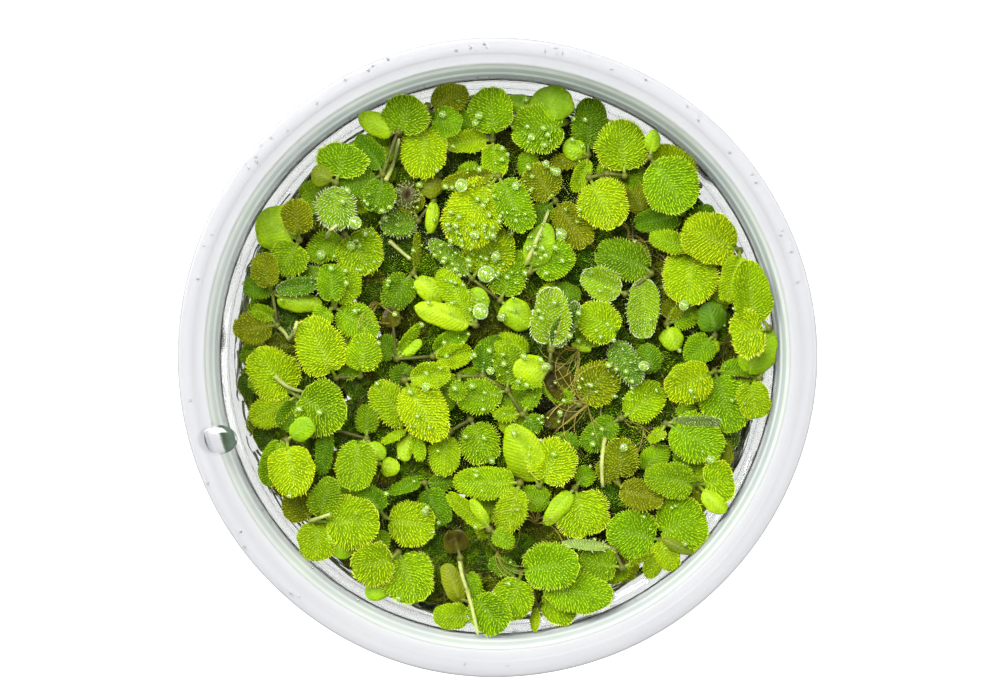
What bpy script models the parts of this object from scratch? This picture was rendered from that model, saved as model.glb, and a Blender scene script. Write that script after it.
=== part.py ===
"""Water spangles: small floating ferns that cover the water in a clear round cup.

The cup stands on its foot ring with its axis on Z. The plan below gives where each fern's stem joints
and leaves lie, seen from above. The ferns are laid on the water one after the other, so a later one
lies on those before it.
"""

import math

import bmesh
import bpy
import numpy as np

MM = 0.001  # every size below is in millimetres and becomes metres where a mesh is made

# Driving dimensions of the cup
CUP_HEIGHT = 48.0
RIM_RADIUS = 57.5
MOUTH_RADIUS = 54.5
WALL = 1.2
WALL_SLOPE = 0.129
LIP_DEPTH = 2.2
FLOOR_TOP = 2.4
FOOT_OUTER = 47.2
FOOT_INNER = 43.8
FOOT_RECESS = 1.1
TURN_STEPS = 36

# Driving dimensions of the water
WATER_LEVEL = 33.0
MENISCUS_RISE = 2.0
MENISCUS_WIDTH = 3.0
GAP = 0.3

# Driving dimensions of the ferns
LEAF_THICKNESS = 0.8
LEAF_GAP = 0.3
STEM_RADIUS = 0.45
PETIOLE_HALF_WIDTH = 0.55
SMALLEST_SOLID_LEAF = 5.0
NARROW_LEAF = 6.2
BROAD_LEAF = 8.4
ROOT_LENGTH = 17.0
ROOT_RADIUS = 2.3
ROOT_NECK = 0.85
ROOT_SPACING = 21.0
ROOT_REACH = 45.0
BED_CELL = 0.5
BED_SPAN = 56.0
LIFTS = (0.0, 0.7, 1.4, 2.1, 2.8)
RISES = np.arange(-3.0, 5.1, 0.5)
LEANS = (0.0, 0.18, -0.18, 0.36, -0.36)
STEM_WEIGHT = 2.2
LIFT_WEIGHT = 0.6
HEIGHT_WEIGHT = 1.0

# How a leaf is held: its edges' rise and its middle's rise as shares of its half width and its
# length, how much higher its tip is than its base, and how far it leans over to one side.
FORMS = {
    "open": {"edges": 0.10, "crown": 0.05, "rise": 0.8, "lean": 0.0},
    "folded": {"edges": 0.55, "crown": 0.02, "rise": 1.0, "lean": 0.0},
    "smooth": {"edges": -0.22, "crown": 0.10, "rise": 0.8, "lean": 0.0},
    "edge": {"edges": 0.0, "crown": 0.08, "rise": 0.6, "lean": 1.3},
}

# Every fern: its stem joints, then its leaves as (base x, base y, tip x, tip y, width, tone, form)
# with, where it stands up the wall, how much higher the tip is than the base.
FERNS = (
    (((-10.7, 33.6), (-11.7, 28.9), (-14.6, 25.2)), (
        (-15.3, 26.5, -17.0, 32.0, 5.0, "olive", "folded"),
        (-14.9, 24.6, -21.6, 24.6, 5.0, "green", "open"),
        (-10.7, 33.2, -13.8, 30.0, 4.6, "olive", "smooth"),
        (-11.7, 28.6, -12.3, 22.8, 2.5, "bright", "smooth"),
    )),
    (((37.3, 31.6), (34.3, 26.4)), (
        (37.4, 32.4, 31.5, 40.8, 7.5, "lime", "folded"),
        (33.8, 26.2, 25.4, 24.5, 5.0, "dark", "folded"),
    )),
    (((16.9, 37.3),), (
        (16.2, 36.9, 10.0, 35.8, 3.3, "olive", "open"),
        (17.0, 36.3, 14.2, 30.5, 3.3, "lime", "folded"),
        (16.8, 38.6, 17.5, 47.8, 6.5, "dark", "open"),
        (16.4, 37.8, 12.2, 39.0, 4.2, "lime", "smooth"),
    )),
    (((10.8, 28.8),), (
        (9.8, 28.5, 6.5, 24.5, 4.0, "dark", "open"),
        (11.3, 28.0, 16.8, 20.5, 6.3, "olive", "open"),
        (10.4, 29.6, 6.0, 35.0, 7.0, "olive", "open"),
    )),
    (((-15.5, 15.4),), (
        (-14.9, 16.6, -14.7, 23.0, 1.6, "olive", "edge"),
        (-14.9, 14.4, -10.0, 10.2, 4.2, "bright", "smooth"),
        (-16.5, 15.0, -20.2, 8.6, 6.0, "dark", "open"),
    )),
    (((-18.6, -0.4), (-11.9, 0.0)), (
        (-19.2, -0.2, -21.5, 3.8, 4.5, "dark", "open"),
        (-11.6, 0.8, -5.5, 5.0, 4.0, "green", "folded"),
        (-19.0, 5.4, -20.0, 9.0, 3.5, "brown", "open"),
        (-18.4, 0.6, -14.0, 6.3, 2.0, "lime", "edge"),
        (-17.4, 0.0, -14.0, 3.0, 2.0, "bright", "smooth"),
        (-11.2, -0.5, -4.5, 0.8, 4.6, "bright", "folded"),
    )),
    (((15.2, -8.9),), (
        (14.5, -9.6, 8.5, -12.5, 4.0, "brown", "open"),
        (14.5, -8.0, 9.5, -2.0, 5.5, "brown", "open"),
        (14.3, -8.4, 8.3, -5.5, 3.2, "green", "open"),
        (15.8, -8.1, 21.5, -1.5, 8.0, "olive", "open"),
    )),
    (((23.0, -11.4),), (
        (21.9, -11.7, 16.0, -17.0, 5.5, "dark", "open"),
        (24.1, -11.0, 30.5, -5.5, 7.0, "lime", "open"),
    )),
    (((31.4, 6.1),), (
        (31.5, 7.1, 33.5, 11.0, 4.0, "olive", "folded"),
        (32.6, 6.3, 37.0, 8.8, 4.5, "green", "open"),
        (31.5, 5.2, 33.3, 1.2, 4.3, "bright", "smooth"),
    )),
    (((40.3, 4.0),), (
        (40.4, 4.9, 38.6, 10.0, 5.4, "dark", "smooth"),
        (39.4, 3.4, 35.0, -1.0, 5.5, "green", "open"),
        (40.5, 3.0, 40.3, 0.6, 1.8, "bright", "smooth"),
    )),
    (((-13.4, -23.4),), (
        (-12.6, -23.5, -8.0, -23.0, 3.3, "dark", "open"),
        (-14.2, -22.9, -20.0, -25.0, 2.5, "dark", "edge"),
        (-12.9, -24.6, -10.0, -31.3, 6.0, "dark", "open"),
    )),
    (((-20.8, -29.6),), (
        (-21.4, -28.5, -24.8, -24.0, 5.0, "dark", "open"),
        (-20.0, -30.4, -11.4, -31.2, 8.2, "lime", "open"),
    )),
    (((12.6, 43.3),), (
        (8.6, 45.0, 1.5, 47.5, 4.0, "lime", "smooth"),
        (11.2, 44.6, 9.4, 51.0, 8.2, "lime", "smooth"),
        (12.2, 42.3, 2.7, 41.5, 8.6, "green", "open"),
    )),
    (((-0.9, 40.2),), (
        (-0.7, 39.3, -0.2, 33.0, 5.0, "lime", "folded"),
        (-0.7, 41.2, -1.5, 49.4, 8.2, "green", "open"),
        (-3.0, 41.6, -8.5, 45.0, 4.5, "green", "open"),
        (-2.0, 40.0, -9.8, 39.3, 4.2, "lime", "folded"),
    )),
    (((-12.9, 46.4), (-12.5, 43.4)), (
        (-12.0, 46.8, -5.6, 50.0, 5.5, "olive", "open"),
        (-11.7, 43.9, -6.6, 42.2, 5.5, "green", "open"),
        (-12.8, 42.4, -14.2, 32.8, 8.5, "lime", "open"),
    )),
    (((-21.0, 33.4), (-18.2, 41.2)), (
        (-22.2, 32.6, -30.0, 30.5, 5.0, "dark", "open"),
        (-21.2, 34.6, -25.5, 40.5, 4.5, "dark", "folded"),
        (-20.9, 32.2, -22.5, 26.5, 6.0, "dark", "open"),
        (-19.2, 41.6, -25.5, 44.5, 4.5, "bright", "smooth"),
        (-17.9, 42.3, -17.0, 49.5, 8.5, "green", "open"),
    )),
    (((-28.2, 22.6),), (
        (-28.9, 21.8, -35.3, 18.4, 5.5, "green", "open"),
        (-27.5, 22.4, -22.8, 15.8, 8.8, "lime", "open"),
    )),
    (((-29.4, 31.8),), (
        (-30.2, 32.2, -33.7, 34.0, 4.2, "olive", "smooth"),
        (-29.6, 30.8, -29.0, 23.3, 7.0, "green", "open"),
        (-28.9, 32.8, -27.5, 38.8, 9.0, "green", "open"),
    )),
    (((-36.5, 21.6),), (
        (-36.4, 22.6, -36.5, 28.6, 6.0, "olive", "open"),
        (-36.9, 20.6, -40.0, 15.3, 7.0, "green", "open"),
        (-37.5, 21.9, -44.0, 26.0, 9.0, "lime", "smooth"),
    )),
    (((-4.6, 14.4), (0.6, 10.4)), (
        (-5.3, 15.4, -12.5, 21.5, 4.0, "green", "folded"),
        (1.3, 9.8, 6.0, 5.5, 5.5, "lime", "smooth"),
        (-4.0, 15.2, 1.0, 23.7, 9.0, "lime", "open"),
        (1.2, 11.3, 3.0, 20.0, 7.0, "green", "open"),
    )),
    (((6.0, 15.6),), (
        (6.2, 16.7, 9.5, 24.5, 5.5, "lime", "smooth"),
        (7.0, 15.9, 13.8, 19.8, 7.2, "green", "open"),
    )),
    (((-4.0, 5.8),), (
        (-5.1, 6.0, -15.0, 9.2, 4.6, "bright", "smooth"),
        (-4.7, 6.7, -10.5, 16.0, 5.0, "lime", "open"),
        (-3.9, 6.9, -3.6, 12.8, 4.6, "lime", "smooth"),
    )),
    (((0.2, 33.2),), (
        (-0.8, 33.6, -10.0, 31.5, 3.5, "olive", "folded"),
        (0.9, 32.3, 5.5, 23.0, 6.5, "green", "open"),
        (-1.0, 32.3, -7.4, 20.5, 10.5, "bright", "open"),
    )),
    (((17.0, 33.0), (20.3, 33.7), (23.5, 33.3)), (
        (23.5, 34.4, 22.5, 43.5, 9.5, "lime", "open"),
        (17.5, 32.0, 22.0, 23.8, 9.0, "lime", "open"),
    )),
    (((28.0, 36.5),), (
        (28.3, 37.5, 28.7, 41.6, 2.8, "bright", "smooth"),
        (28.6, 35.5, 35.0, 27.0, 10.0, "green", "open"),
    )),
    (((35.8, 20.2),), (
        (34.7, 20.4, 28.0, 22.0, 4.0, "lime", "open"),
        (35.9, 19.1, 35.0, 9.6, 10.0, "lime", "open"),
    )),
    (((44.9, 19.6),), (
        (44.6, 18.5, 42.0, 10.0, 5.0, "lime", "open"),
        (43.9, 20.0, 34.0, 23.5, 9.3, "bright", "open"),
    )),
    (((28.6, 15.4), (23.8, 11.6)), (
        (22.8, 12.0, 15.5, 15.0, 6.0, "lime", "folded"),
        (28.2, 16.4, 18.5, 19.5, 7.5, "dark", "open"),
        (27.2, 14.3, 26.8, 3.4, 5.8, "lime", "folded"),
    )),
    (((21.2, 3.4),), (
        (17.5, 1.4, 13.8, 2.2, 1.8, "bright", "smooth"),
        (21.7, 2.4, 26.0, -5.0, 5.0, "dark", "open"),
        (20.1, 3.6, 14.0, 6.0, 5.0, "green", "open"),
        (22.2, 4.4, 15.0, 8.5, 7.2, "lime", "open"),
    )),
    (((-41.6, 11.9), (-40.7, 5.8)), (
        (-42.0, 12.9, -43.2, 19.0, 5.0, "olive", "open"),
        (-41.3, 7.2, -45.2, 9.0, 3.0, "green", "folded"),
        (-40.6, 12.3, -32.5, 13.5, 3.4, "dark", "folded"),
        (-40.7, 10.9, -32.3, 9.5, 4.0, "lime", "smooth"),
        (-41.7, 5.6, -48.9, 5.0, 6.0, "olive", "open"),
    )),
    (((-30.2, 9.2),), (
        (-30.3, 10.2, -30.5, 17.0, 5.0, "green", "open"),
        (-29.6, 10.0, -26.5, 16.2, 6.0, "lime", "open"),
        (-31.0, 8.6, -33.4, 6.0, 4.0, "green", "open"),
        (-29.3, 8.6, -22.0, 4.0, 6.5, "green", "open"),
    )),
    (((-29.8, -3.9), (-25.4, -3.6)), (
        (-29.0, -3.3, -25.8, -1.2, 4.0, "green", "open"),
        (-25.2, -2.6, -23.8, 4.2, 6.5, "lime", "open"),
        (-30.3, -2.9, -35.0, 7.0, 8.5, "lime", "open"),
    )),
    (((-31.0, -13.2), (-24.2, -15.2), (-22.3, -19.6)), (
        (-31.5, -13.9, -32.5, -22.0, 3.5, "dark", "open"),
        (-24.1, -14.2, -24.0, -8.8, 4.3, "green", "open"),
        (-23.5, -16.0, -21.0, -19.0, 3.3, "lime", "smooth"),
        (-21.4, -20.1, -18.0, -20.8, 3.6, "bright", "smooth"),
        (-25.6, -15.4, -26.0, -24.4, 7.3, "green", "open"),
    )),
    (((-37.0, -7.4),), (
        (-37.0, -8.5, -39.5, -13.5, 5.0, "dark", "folded"),
        (-38.3, -6.0, -46.0, -4.6, 4.5, "green", "open"),
        (-38.1, -7.9, -45.5, -12.0, 6.0, "lime", "open"),
        (-38.3, -6.5, -44.9, 1.0, 8.5, "lime", "open"),
        (-36.2, -7.4, -28.0, -12.0, 10.2, "green", "open"),
    )),
    (((-34.0, -30.6),), (
        (-32.8, -29.4, -30.0, -22.0, 5.5, "green", "open"),
        (-34.8, -29.8, -39.0, -25.5, 6.0, "olive", "open"),
        (-34.3, -31.7, -34.3, -38.7, 7.0, "lime", "open"),
        (-33.3, -31.5, -27.0, -36.8, 4.5, "lime", "smooth"),
        (-31.4, -30.4, -21.5, -30.0, 9.6, "lime", "open"),
    )),
    (((-38.7, -15.4),), (
        (-40.0, -15.4, -42.2, -23.8, 5.0, "green", "folded"),
        (-37.9, -14.7, -33.7, -12.0, 4.2, "lime", "smooth"),
        (-38.3, -16.5, -36.5, -25.3, 8.5, "lime", "open"),
    )),
    (((-8.8, -13.8), (-4.9, -11.6)), (
        (-9.2, -14.8, -10.2, -22.0, 6.0, "lime", "open"),
        (-4.4, -12.5, -1.8, -19.6, 7.0, "green", "open"),
    )),
    (((-15.9, -13.2),), (
        (-15.0, -13.9, -14.0, -19.2, 2.6, "lime", "folded"),
        (-16.8, -13.7, -21.3, -15.8, 1.8, "bright", "edge"),
        (-16.6, -12.3, -22.5, -5.0, 6.5, "lime", "open"),
        (-16.3, -14.3, -17.3, -19.2, 3.3, "bright", "smooth"),
    )),
    (((-17.0, -4.3),), (
        (-15.9, -3.9, -8.5, -3.0, 5.0, "lime", "folded"),
        (-16.4, -5.3, -10.0, -15.3, 8.5, "bright", "open"),
    )),
    (((-6.9, -3.6), (-2.6, -3.6), (1.9, -6.2), (4.7, -10.6)), (
        (-2.6, -2.6, -2.5, 2.2, 4.0, "dark", "open"),
        (-7.0, -4.4, -7.5, -8.0, 3.0, "green", "open"),
        (5.4, -11.3, 8.0, -13.5, 4.0, "dark", "open"),
        (3.7, -10.8, -0.8, -10.5, 2.8, "lime", "open"),
        (5.2, -9.7, 8.0, -5.7, 2.5, "green", "open"),
        (2.0, -5.1, 2.3, 2.3, 5.5, "green", "open"),
        (0.9, -6.6, -7.4, -8.0, 6.5, "green", "open"),
    )),
    (((9.9, 1.2), (9.6, -2.0)), (
        (10.6, 2.0, 14.6, 10.0, 4.0, "dark", "folded"),
        (9.6, 2.3, 10.1, 12.8, 7.0, "lime", "folded"),
        (8.4, -4.8, 2.8, -5.6, 1.6, "lime", "edge"),
        (9.0, -2.3, 2.9, -2.4, 5.2, "bright", "smooth"),
    )),
    (((40.3, -2.7),), (
        (41.4, -2.7, 49.0, -2.5, 4.8, "green", "open"),
        (40.7, -3.8, 44.0, -13.8, 9.0, "green", "open"),
        (39.2, -3.1, 31.0, -6.5, 7.5, "lime", "open"),
    )),
    (((48.4, -4.0),), (
        (48.6, -5.1, 49.8, -11.7, 6.0, "lime", "open"),
        (48.9, -2.9, 52.9, 5.3, 6.5, "lime", "smooth", 6.0),
    )),
    (((49.6, 5.2),), (
        (48.5, 4.9, 42.8, 3.5, 8.5, "lime", "open"),
        (48.2, 6.3, 46.6, 17.8, 7.2, "lime", "folded"),
    )),
    (((31.3, -12.4),), (
        (31.0, -13.6, 28.0, -15.6, 2.2, "lime", "edge"),
        (32.3, -12.0, 41.0, -12.0, 2.5, "pale", "edge"),
        (32.3, -12.9, 41.5, -17.5, 8.5, "green", "open"),
    )),
    (((14.4, -24.3),), (
        (15.0, -23.4, 17.5, -20.8, 4.0, "green", "open"),
        (13.6, -25.1, 8.8, -31.0, 3.4, "lime", "smooth"),
        (14.7, -25.3, 17.0, -33.2, 9.8, "lime", "open"),
    )),
    (((7.8, -24.0),), (
        (8.5, -23.1, 12.0, -15.4, 9.0, "lime", "open"),
        (7.3, -22.9, 2.4, -12.4, 7.2, "bright", "smooth"),
    )),
    (((4.2, -23.2),), (
        (3.1, -23.2, -8.0, -23.0, 6.0, "lime", "open"),
        (3.9, -24.3, 1.2, -32.3, 5.8, "lime", "open"),
    )),
    (((-1.4, -31.6),), (
        (-0.6, -32.2, 3.0, -34.5, 3.4, "green", "open"),
        (-1.7, -30.6, -4.8, -26.0, 2.2, "bright", "smooth"),
        (-2.2, -31.0, -9.0, -25.0, 3.4, "lime", "folded"),
    )),
    (((30.3, -34.0),), (
        (31.4, -34.5, 37.0, -37.2, 2.4, "olive", "smooth"),
        (30.0, -35.1, 28.0, -41.0, 3.6, "lime", "open"),
        (30.8, -35.0, 33.5, -40.2, 4.6, "lime", "open"),
        (29.2, -33.7, 20.3, -31.5, 9.3, "green", "open"),
        (31.3, -33.6, 39.6, -30.4, 10.0, "green", "open"),
    )),
    (((22.3, -23.3),), (
        (21.3, -23.2, 18.8, -19.5, 3.4, "olive", "open"),
        (22.4, -22.2, 23.0, -15.0, 6.5, "olive", "open"),
        (22.6, -24.4, 30.6, -26.6, 5.5, "olive", "open"),
    )),
    (((37.2, -23.8),), (
        (38.0, -24.6, 42.0, -28.5, 4.0, "bright", "smooth"),
        (36.1, -23.6, 27.0, -21.5, 6.5, "green", "open"),
        (38.2, -23.5, 43.4, -22.3, 8.0, "lime", "open"),
    )),
    (((23.0, -38.7), (21.4, -35.4)), (
        (20.5, -34.9, 12.0, -34.0, 1.8, "pale", "edge"),
        (24.0, -38.3, 29.0, -36.0, 1.4, "lime", "edge"),
        (21.9, -38.5, 15.2, -37.5, 6.5, "green", "open"),
    )),
    (((6.6, -42.6), (7.5, -46.8)), (
        (7.4, -47.8, 7.0, -52.0, 1.8, "bright", "edge"),
        (8.6, -42.7, 21.2, -43.6, 7.4, "green", "open"),
        (8.6, -47.0, 15.2, -47.4, 7.0, "lime", "open"),
    )),
    (((4.6, -40.0),), (
        (3.6, -39.7, -1.5, -38.0, 3.5, "dark", "open"),
        (4.2, -41.0, 1.3, -48.0, 7.5, "green", "open"),
        (5.0, -39.2, 14.9, -37.2, 8.4, "green", "open"),
    )),
    (((-6.8, -37.2), (-5.7, -42.0), (-4.8, -45.4), (-4.5, -48.6)), (
        (-7.0, -36.2, -8.2, -32.0, 5.0, "brown", "open"),
        (-5.4, -40.0, -3.4, -44.5, 3.3, "green", "open"),
        (-6.6, -45.6, -9.6, -38.3, 3.8, "olive", "smooth"),
        (-5.5, -49.1, -12.0, -48.8, 5.0, "lime", "open"),
        (-4.0, -46.1, 1.2, -51.8, 7.6, "green", "open"),
    )),
    (((-18.3, -36.2),), (
        (-19.6, -41.0, -24.0, -44.6, 4.2, "lime", "smooth"),
        (-19.3, -37.4, -26.6, -38.8, 7.8, "lime", "open"),
        (-17.8, -36.8, -14.8, -45.4, 9.6, "green", "open"),
    )),
)

TONES = {
    "bright": (0.50, 0.66, 0.02),
    "lime": (0.34, 0.55, 0.02),
    "green": (0.20, 0.42, 0.03),
    "dark": (0.07, 0.20, 0.02),
    "olive": (0.24, 0.32, 0.02),
    "brown": (0.12, 0.09, 0.02),
    "pale": (0.50, 0.62, 0.30),
}


def clear_scene():
    for item in list(bpy.data.objects):
        bpy.data.objects.remove(item, do_unlink=True)


def new_collection(name, hidden):
    made = bpy.data.collections.new(name)
    made.hide_render = hidden
    bpy.context.scene.collection.children.link(made)
    return made


def finish(name, colour, roughness, transmission=0.0, alpha=1.0):
    made = bpy.data.materials.new(name)
    made.use_nodes = True
    shader = made.node_tree.nodes["Principled BSDF"]
    shader.inputs["Base Color"].default_value = (*colour, 1.0)
    shader.inputs["Roughness"].default_value = roughness
    shader.inputs["Metallic"].default_value = 0.0
    shader.inputs["Transmission Weight"].default_value = transmission
    shader.inputs["Alpha"].default_value = alpha
    made.diffuse_color = (*colour, 1.0)
    return made


# The cup and the water

def inner_radius(height):
    """The cup's inner radius at a height above the surface that it stands on."""
    return MOUTH_RADIUS - WALL_SLOPE * (CUP_HEIGHT - height)


def cup_profile():
    """Half section from the middle of the inner floor, up the inside, over the lip and down the outside."""
    lip = CUP_HEIGHT - LIP_DEPTH
    floor_edge = inner_radius(FLOOR_TOP)
    wall_top = inner_radius(lip - 0.6) + WALL
    return [
        (0.0, FLOOR_TOP),
        (floor_edge - 2.0, FLOOR_TOP),
        (floor_edge + 0.1, FLOOR_TOP + 1.8),
        (MOUTH_RADIUS, CUP_HEIGHT - 0.4),
        (MOUTH_RADIUS + 0.7, CUP_HEIGHT),
        (RIM_RADIUS - 0.6, CUP_HEIGHT),
        (RIM_RADIUS, CUP_HEIGHT - 0.6),
        (RIM_RADIUS, lip),
        (wall_top + 0.5, lip),
        (wall_top, lip - 0.6),
        (FOOT_OUTER + 0.9, 1.0),
        (FOOT_OUTER, 0.0),
        (FOOT_INNER, 0.0),
        (FOOT_INNER - 0.8, FOOT_RECESS),
        (0.0, FOOT_RECESS),
    ]


def water_profile():
    """Half section from the middle of the surface, over the meniscus, down the wall and in along the floor."""
    wet = WATER_LEVEL + MENISCUS_RISE
    floor_edge = inner_radius(FLOOR_TOP)
    return [
        (0.0, WATER_LEVEL),
        (inner_radius(WATER_LEVEL) - MENISCUS_WIDTH, WATER_LEVEL),
        (inner_radius(WATER_LEVEL) - 0.35 * MENISCUS_WIDTH, WATER_LEVEL + 0.3 * MENISCUS_RISE),
        (inner_radius(wet) - GAP - 0.1, wet),
        (floor_edge - GAP - 0.1, FLOOR_TOP + 1.8 + GAP),
        (floor_edge - 2.0 - 2 * GAP, FLOOR_TOP + GAP),
        (0.0, FLOOR_TOP + GAP),
    ]


def turned(name, profile, collection, material):
    """A solid turned round Z from a half section in millimetres."""
    mesh = bpy.data.meshes.new(name)
    points = [(radius * MM, 0.0, height * MM) for radius, height in profile]
    edges = [(i, i + 1) for i in range(len(points) - 1)]
    mesh.from_pydata(points, edges, [])
    made = bpy.data.objects.new(name, mesh)
    collection.objects.link(made)
    screw = made.modifiers.new("Turn", "SCREW")
    screw.axis = "Z"
    screw.steps = TURN_STEPS
    screw.render_steps = TURN_STEPS
    screw.use_merge_vertices = True
    screw.merge_threshold = 0.0001
    screw.use_smooth_shade = True
    mesh.materials.append(material)
    return made


# The bed: how high everything afloat reaches, cell by cell

class Bed:
    """Top heights over the cup's inside on a square grid, in millimetres."""

    def __init__(self):
        self.count = int(round(2 * BED_SPAN / BED_CELL)) + 1
        axis = np.linspace(-BED_SPAN, BED_SPAN, self.count)
        x, y = np.meshgrid(axis, axis, indexing="ij")
        to_wall = np.clip(inner_radius(WATER_LEVEL) - np.hypot(x, y), 0.0, None)
        self.top = WATER_LEVEL + MENISCUS_RISE * np.exp(-2.2 * to_wall / MENISCUS_WIDTH)
        self.spread()

    def cells(self, points):
        index = np.rint((points[..., :2] + BED_SPAN) / BED_CELL).astype(int)
        index = np.clip(index, 0, self.count - 1)
        return index[..., 0], index[..., 1]

    def spread(self):
        """Each cell takes the highest top among itself and its neighbours."""
        padded = np.pad(self.top, 1, mode="edge")
        rolled = [
            padded[i:i + self.count, j:j + self.count]
            for i in range(3)
            for j in range(3)
        ]
        self.grown = np.max(rolled, axis=0)

    def under(self, points):
        return self.grown[self.cells(points)]

    def cover(self, points):
        np.maximum.at(self.top, self.cells(points), points[..., 2])
        self.spread()


# The leaves

def outline(u):
    """Half width of a leaf, as a share of its full half width, at u from 0 at the base to 1 at the tip."""
    inner = np.clip(u, 0.0, 1.0)
    return 0.30 + 0.70 * np.sin(np.pi * (0.13 + 0.77 * inner)) ** 0.8


def leaf_height(leaf, u, v, rise, lean):
    """Height of a leaf's underside above its stem at (u, v), v from -1 to 1 across it."""
    form = FORMS[leaf[6]]
    length = math.hypot(leaf[2] - leaf[0], leaf[3] - leaf[1])
    half = outline(u) * leaf[4] / 2
    return (
        rise * u
        + form["crown"] * length * 4 * u * (1 - u)
        + form["edges"] * half * np.abs(v) ** 1.4
        + lean * half * v
    )


def leaf_points(leaf, u, v, stem, rise, lean):
    """Points of a leaf's underside, in millimetres, kept inside the cup's wall."""
    base = np.array(leaf[0:2])
    along = np.array(leaf[2:4]) - base
    length = np.hypot(*along)
    across = np.array((-along[1], along[0])) / length
    half = outline(u) * leaf[4] / 2
    bulge = 1 - 0.10 * np.clip(u - 0.6, 0.0, 1.0) * np.abs(v) ** 2 / 0.4
    flat = base + along * (u * bulge)[..., None] + across * (half * v)[..., None]
    wall = inner_radius(WATER_LEVEL + 0.8 * rise_at_least(leaf)) - LEAF_GAP - 0.15
    radius = np.hypot(flat[..., 0], flat[..., 1])
    flat = flat * np.minimum(1.0, wall / np.maximum(radius, 0.1))[..., None]
    height = stem + leaf_height(leaf, u, v, rise, lean)
    return np.concatenate([flat, height[..., None]], axis=-1)


def rise_at_least(leaf):
    return leaf[7] if len(leaf) > 7 else FORMS[leaf[6]]["rise"]


def leaf_samples(leaf, stem, rise, lean):
    u, v = np.meshgrid(np.linspace(0, 1, 25), np.linspace(-1, 1, 21), indexing="ij")
    return leaf_points(leaf, u, v, stem, rise, lean)


def nearest(joints, point):
    return min(joints, key=lambda joint: math.hypot(joint[0] - point[0], joint[1] - point[1]))


def between(first, last, count):
    share = np.linspace(0, 1, count)[:, None]
    return np.array(first) * (1 - share) + np.array(last) * share


def stem_samples(fern, height, poses):
    """Points along a fern's stem and its leaves' stalks; each stalk rises by its leaf's lift."""
    joints, leaves = fern
    runs = [
        between((*joints[i], height), (*joints[i + 1], height), 16)
        for i in range(len(joints) - 1)
    ]
    for number, leaf in enumerate(leaves):
        lift = poses[number][2] if poses else 0.0
        first = (*nearest(joints, leaf[:2]), height)
        runs.append(between(first, (leaf[0], leaf[1], height + lift), 8))
    line = np.concatenate(runs)
    sides = [line + (dx, dy, 0.0) for dx in (-0.5, 0.5) for dy in (-0.5, 0.5)]
    return np.concatenate(sides)


def leaf_poses(leaf, bed):
    """Every way to hold a leaf: the stem height it needs, how much effort it is, and its pose."""
    found = []
    usual = FORMS[leaf[6]]["lean"]
    for lean in LEANS:
        for rise in RISES + rise_at_least(leaf):
            points = leaf_samples(leaf, 0.0, rise, lean + usual)
            need = float((bed.under(points) - points[..., 2]).max()) + LEAF_GAP
            top = float(points[..., 2].max())
            bend = 0.6 * abs(rise - rise_at_least(leaf)) + 3.0 * abs(lean) + HEIGHT_WEIGHT * top
            for lift in LIFTS:
                effort = bend + (LIFT_WEIGHT + HEIGHT_WEIGHT) * lift
                found.append((need - lift, effort, (float(rise), float(lean + usual), lift)))
    return sorted(found, key=lambda option: option[1])


def settle(ferns):
    """Lays the ferns on the water in turn: each one's stem height and its leaves' poses."""
    bed = Bed()
    settled = []
    for fern in ferns:
        joints, leaves = fern
        lowest = float(bed.under(stem_samples(fern, 0.0, None)).max()) + LEAF_GAP
        options = [leaf_poses(leaf, bed) for leaf in leaves]
        best = None
        for stem in np.arange(lowest, lowest + 8.0, 0.2):
            chosen = [next((one for one in held if one[0] <= stem), None) for held in options]
            if None in chosen:
                continue
            cost = STEM_WEIGHT * (stem - lowest) + sum(one[1] for one in chosen) / len(chosen)
            if best is None or cost < best[0]:
                best = (cost, float(stem), [one[2] for one in chosen])
        _, stem, poses = best
        # A root hangs from the first joint that has open water under it.
        rooted = [
            joint for joint in joints
            if bed.under(np.array(joint)[None, :]).max() < WATER_LEVEL + 0.3
        ]
        for leaf, (rise, lean, lift) in zip(leaves, poses):
            top = leaf_samples(leaf, stem + lift, rise, lean)
            top[..., 2] += LEAF_THICKNESS
            bed.cover(top)
        bed.cover(stem_samples(fern, stem + 2 * STEM_RADIUS, poses))
        settled.append((stem, poses, rooted))
    return settled


def choose_roots(settled):
    """The joints that carry a solid root, far enough apart for the water between them to hold."""
    chosen = []
    for number, (_, _, rooted) in enumerate(settled):
        for joint in rooted:
            clear = all(math.dist(joint, other) > ROOT_SPACING for _, other in chosen)
            if clear and math.hypot(*joint) < ROOT_REACH:
                chosen.append((number, joint))
                break
    return chosen


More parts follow.
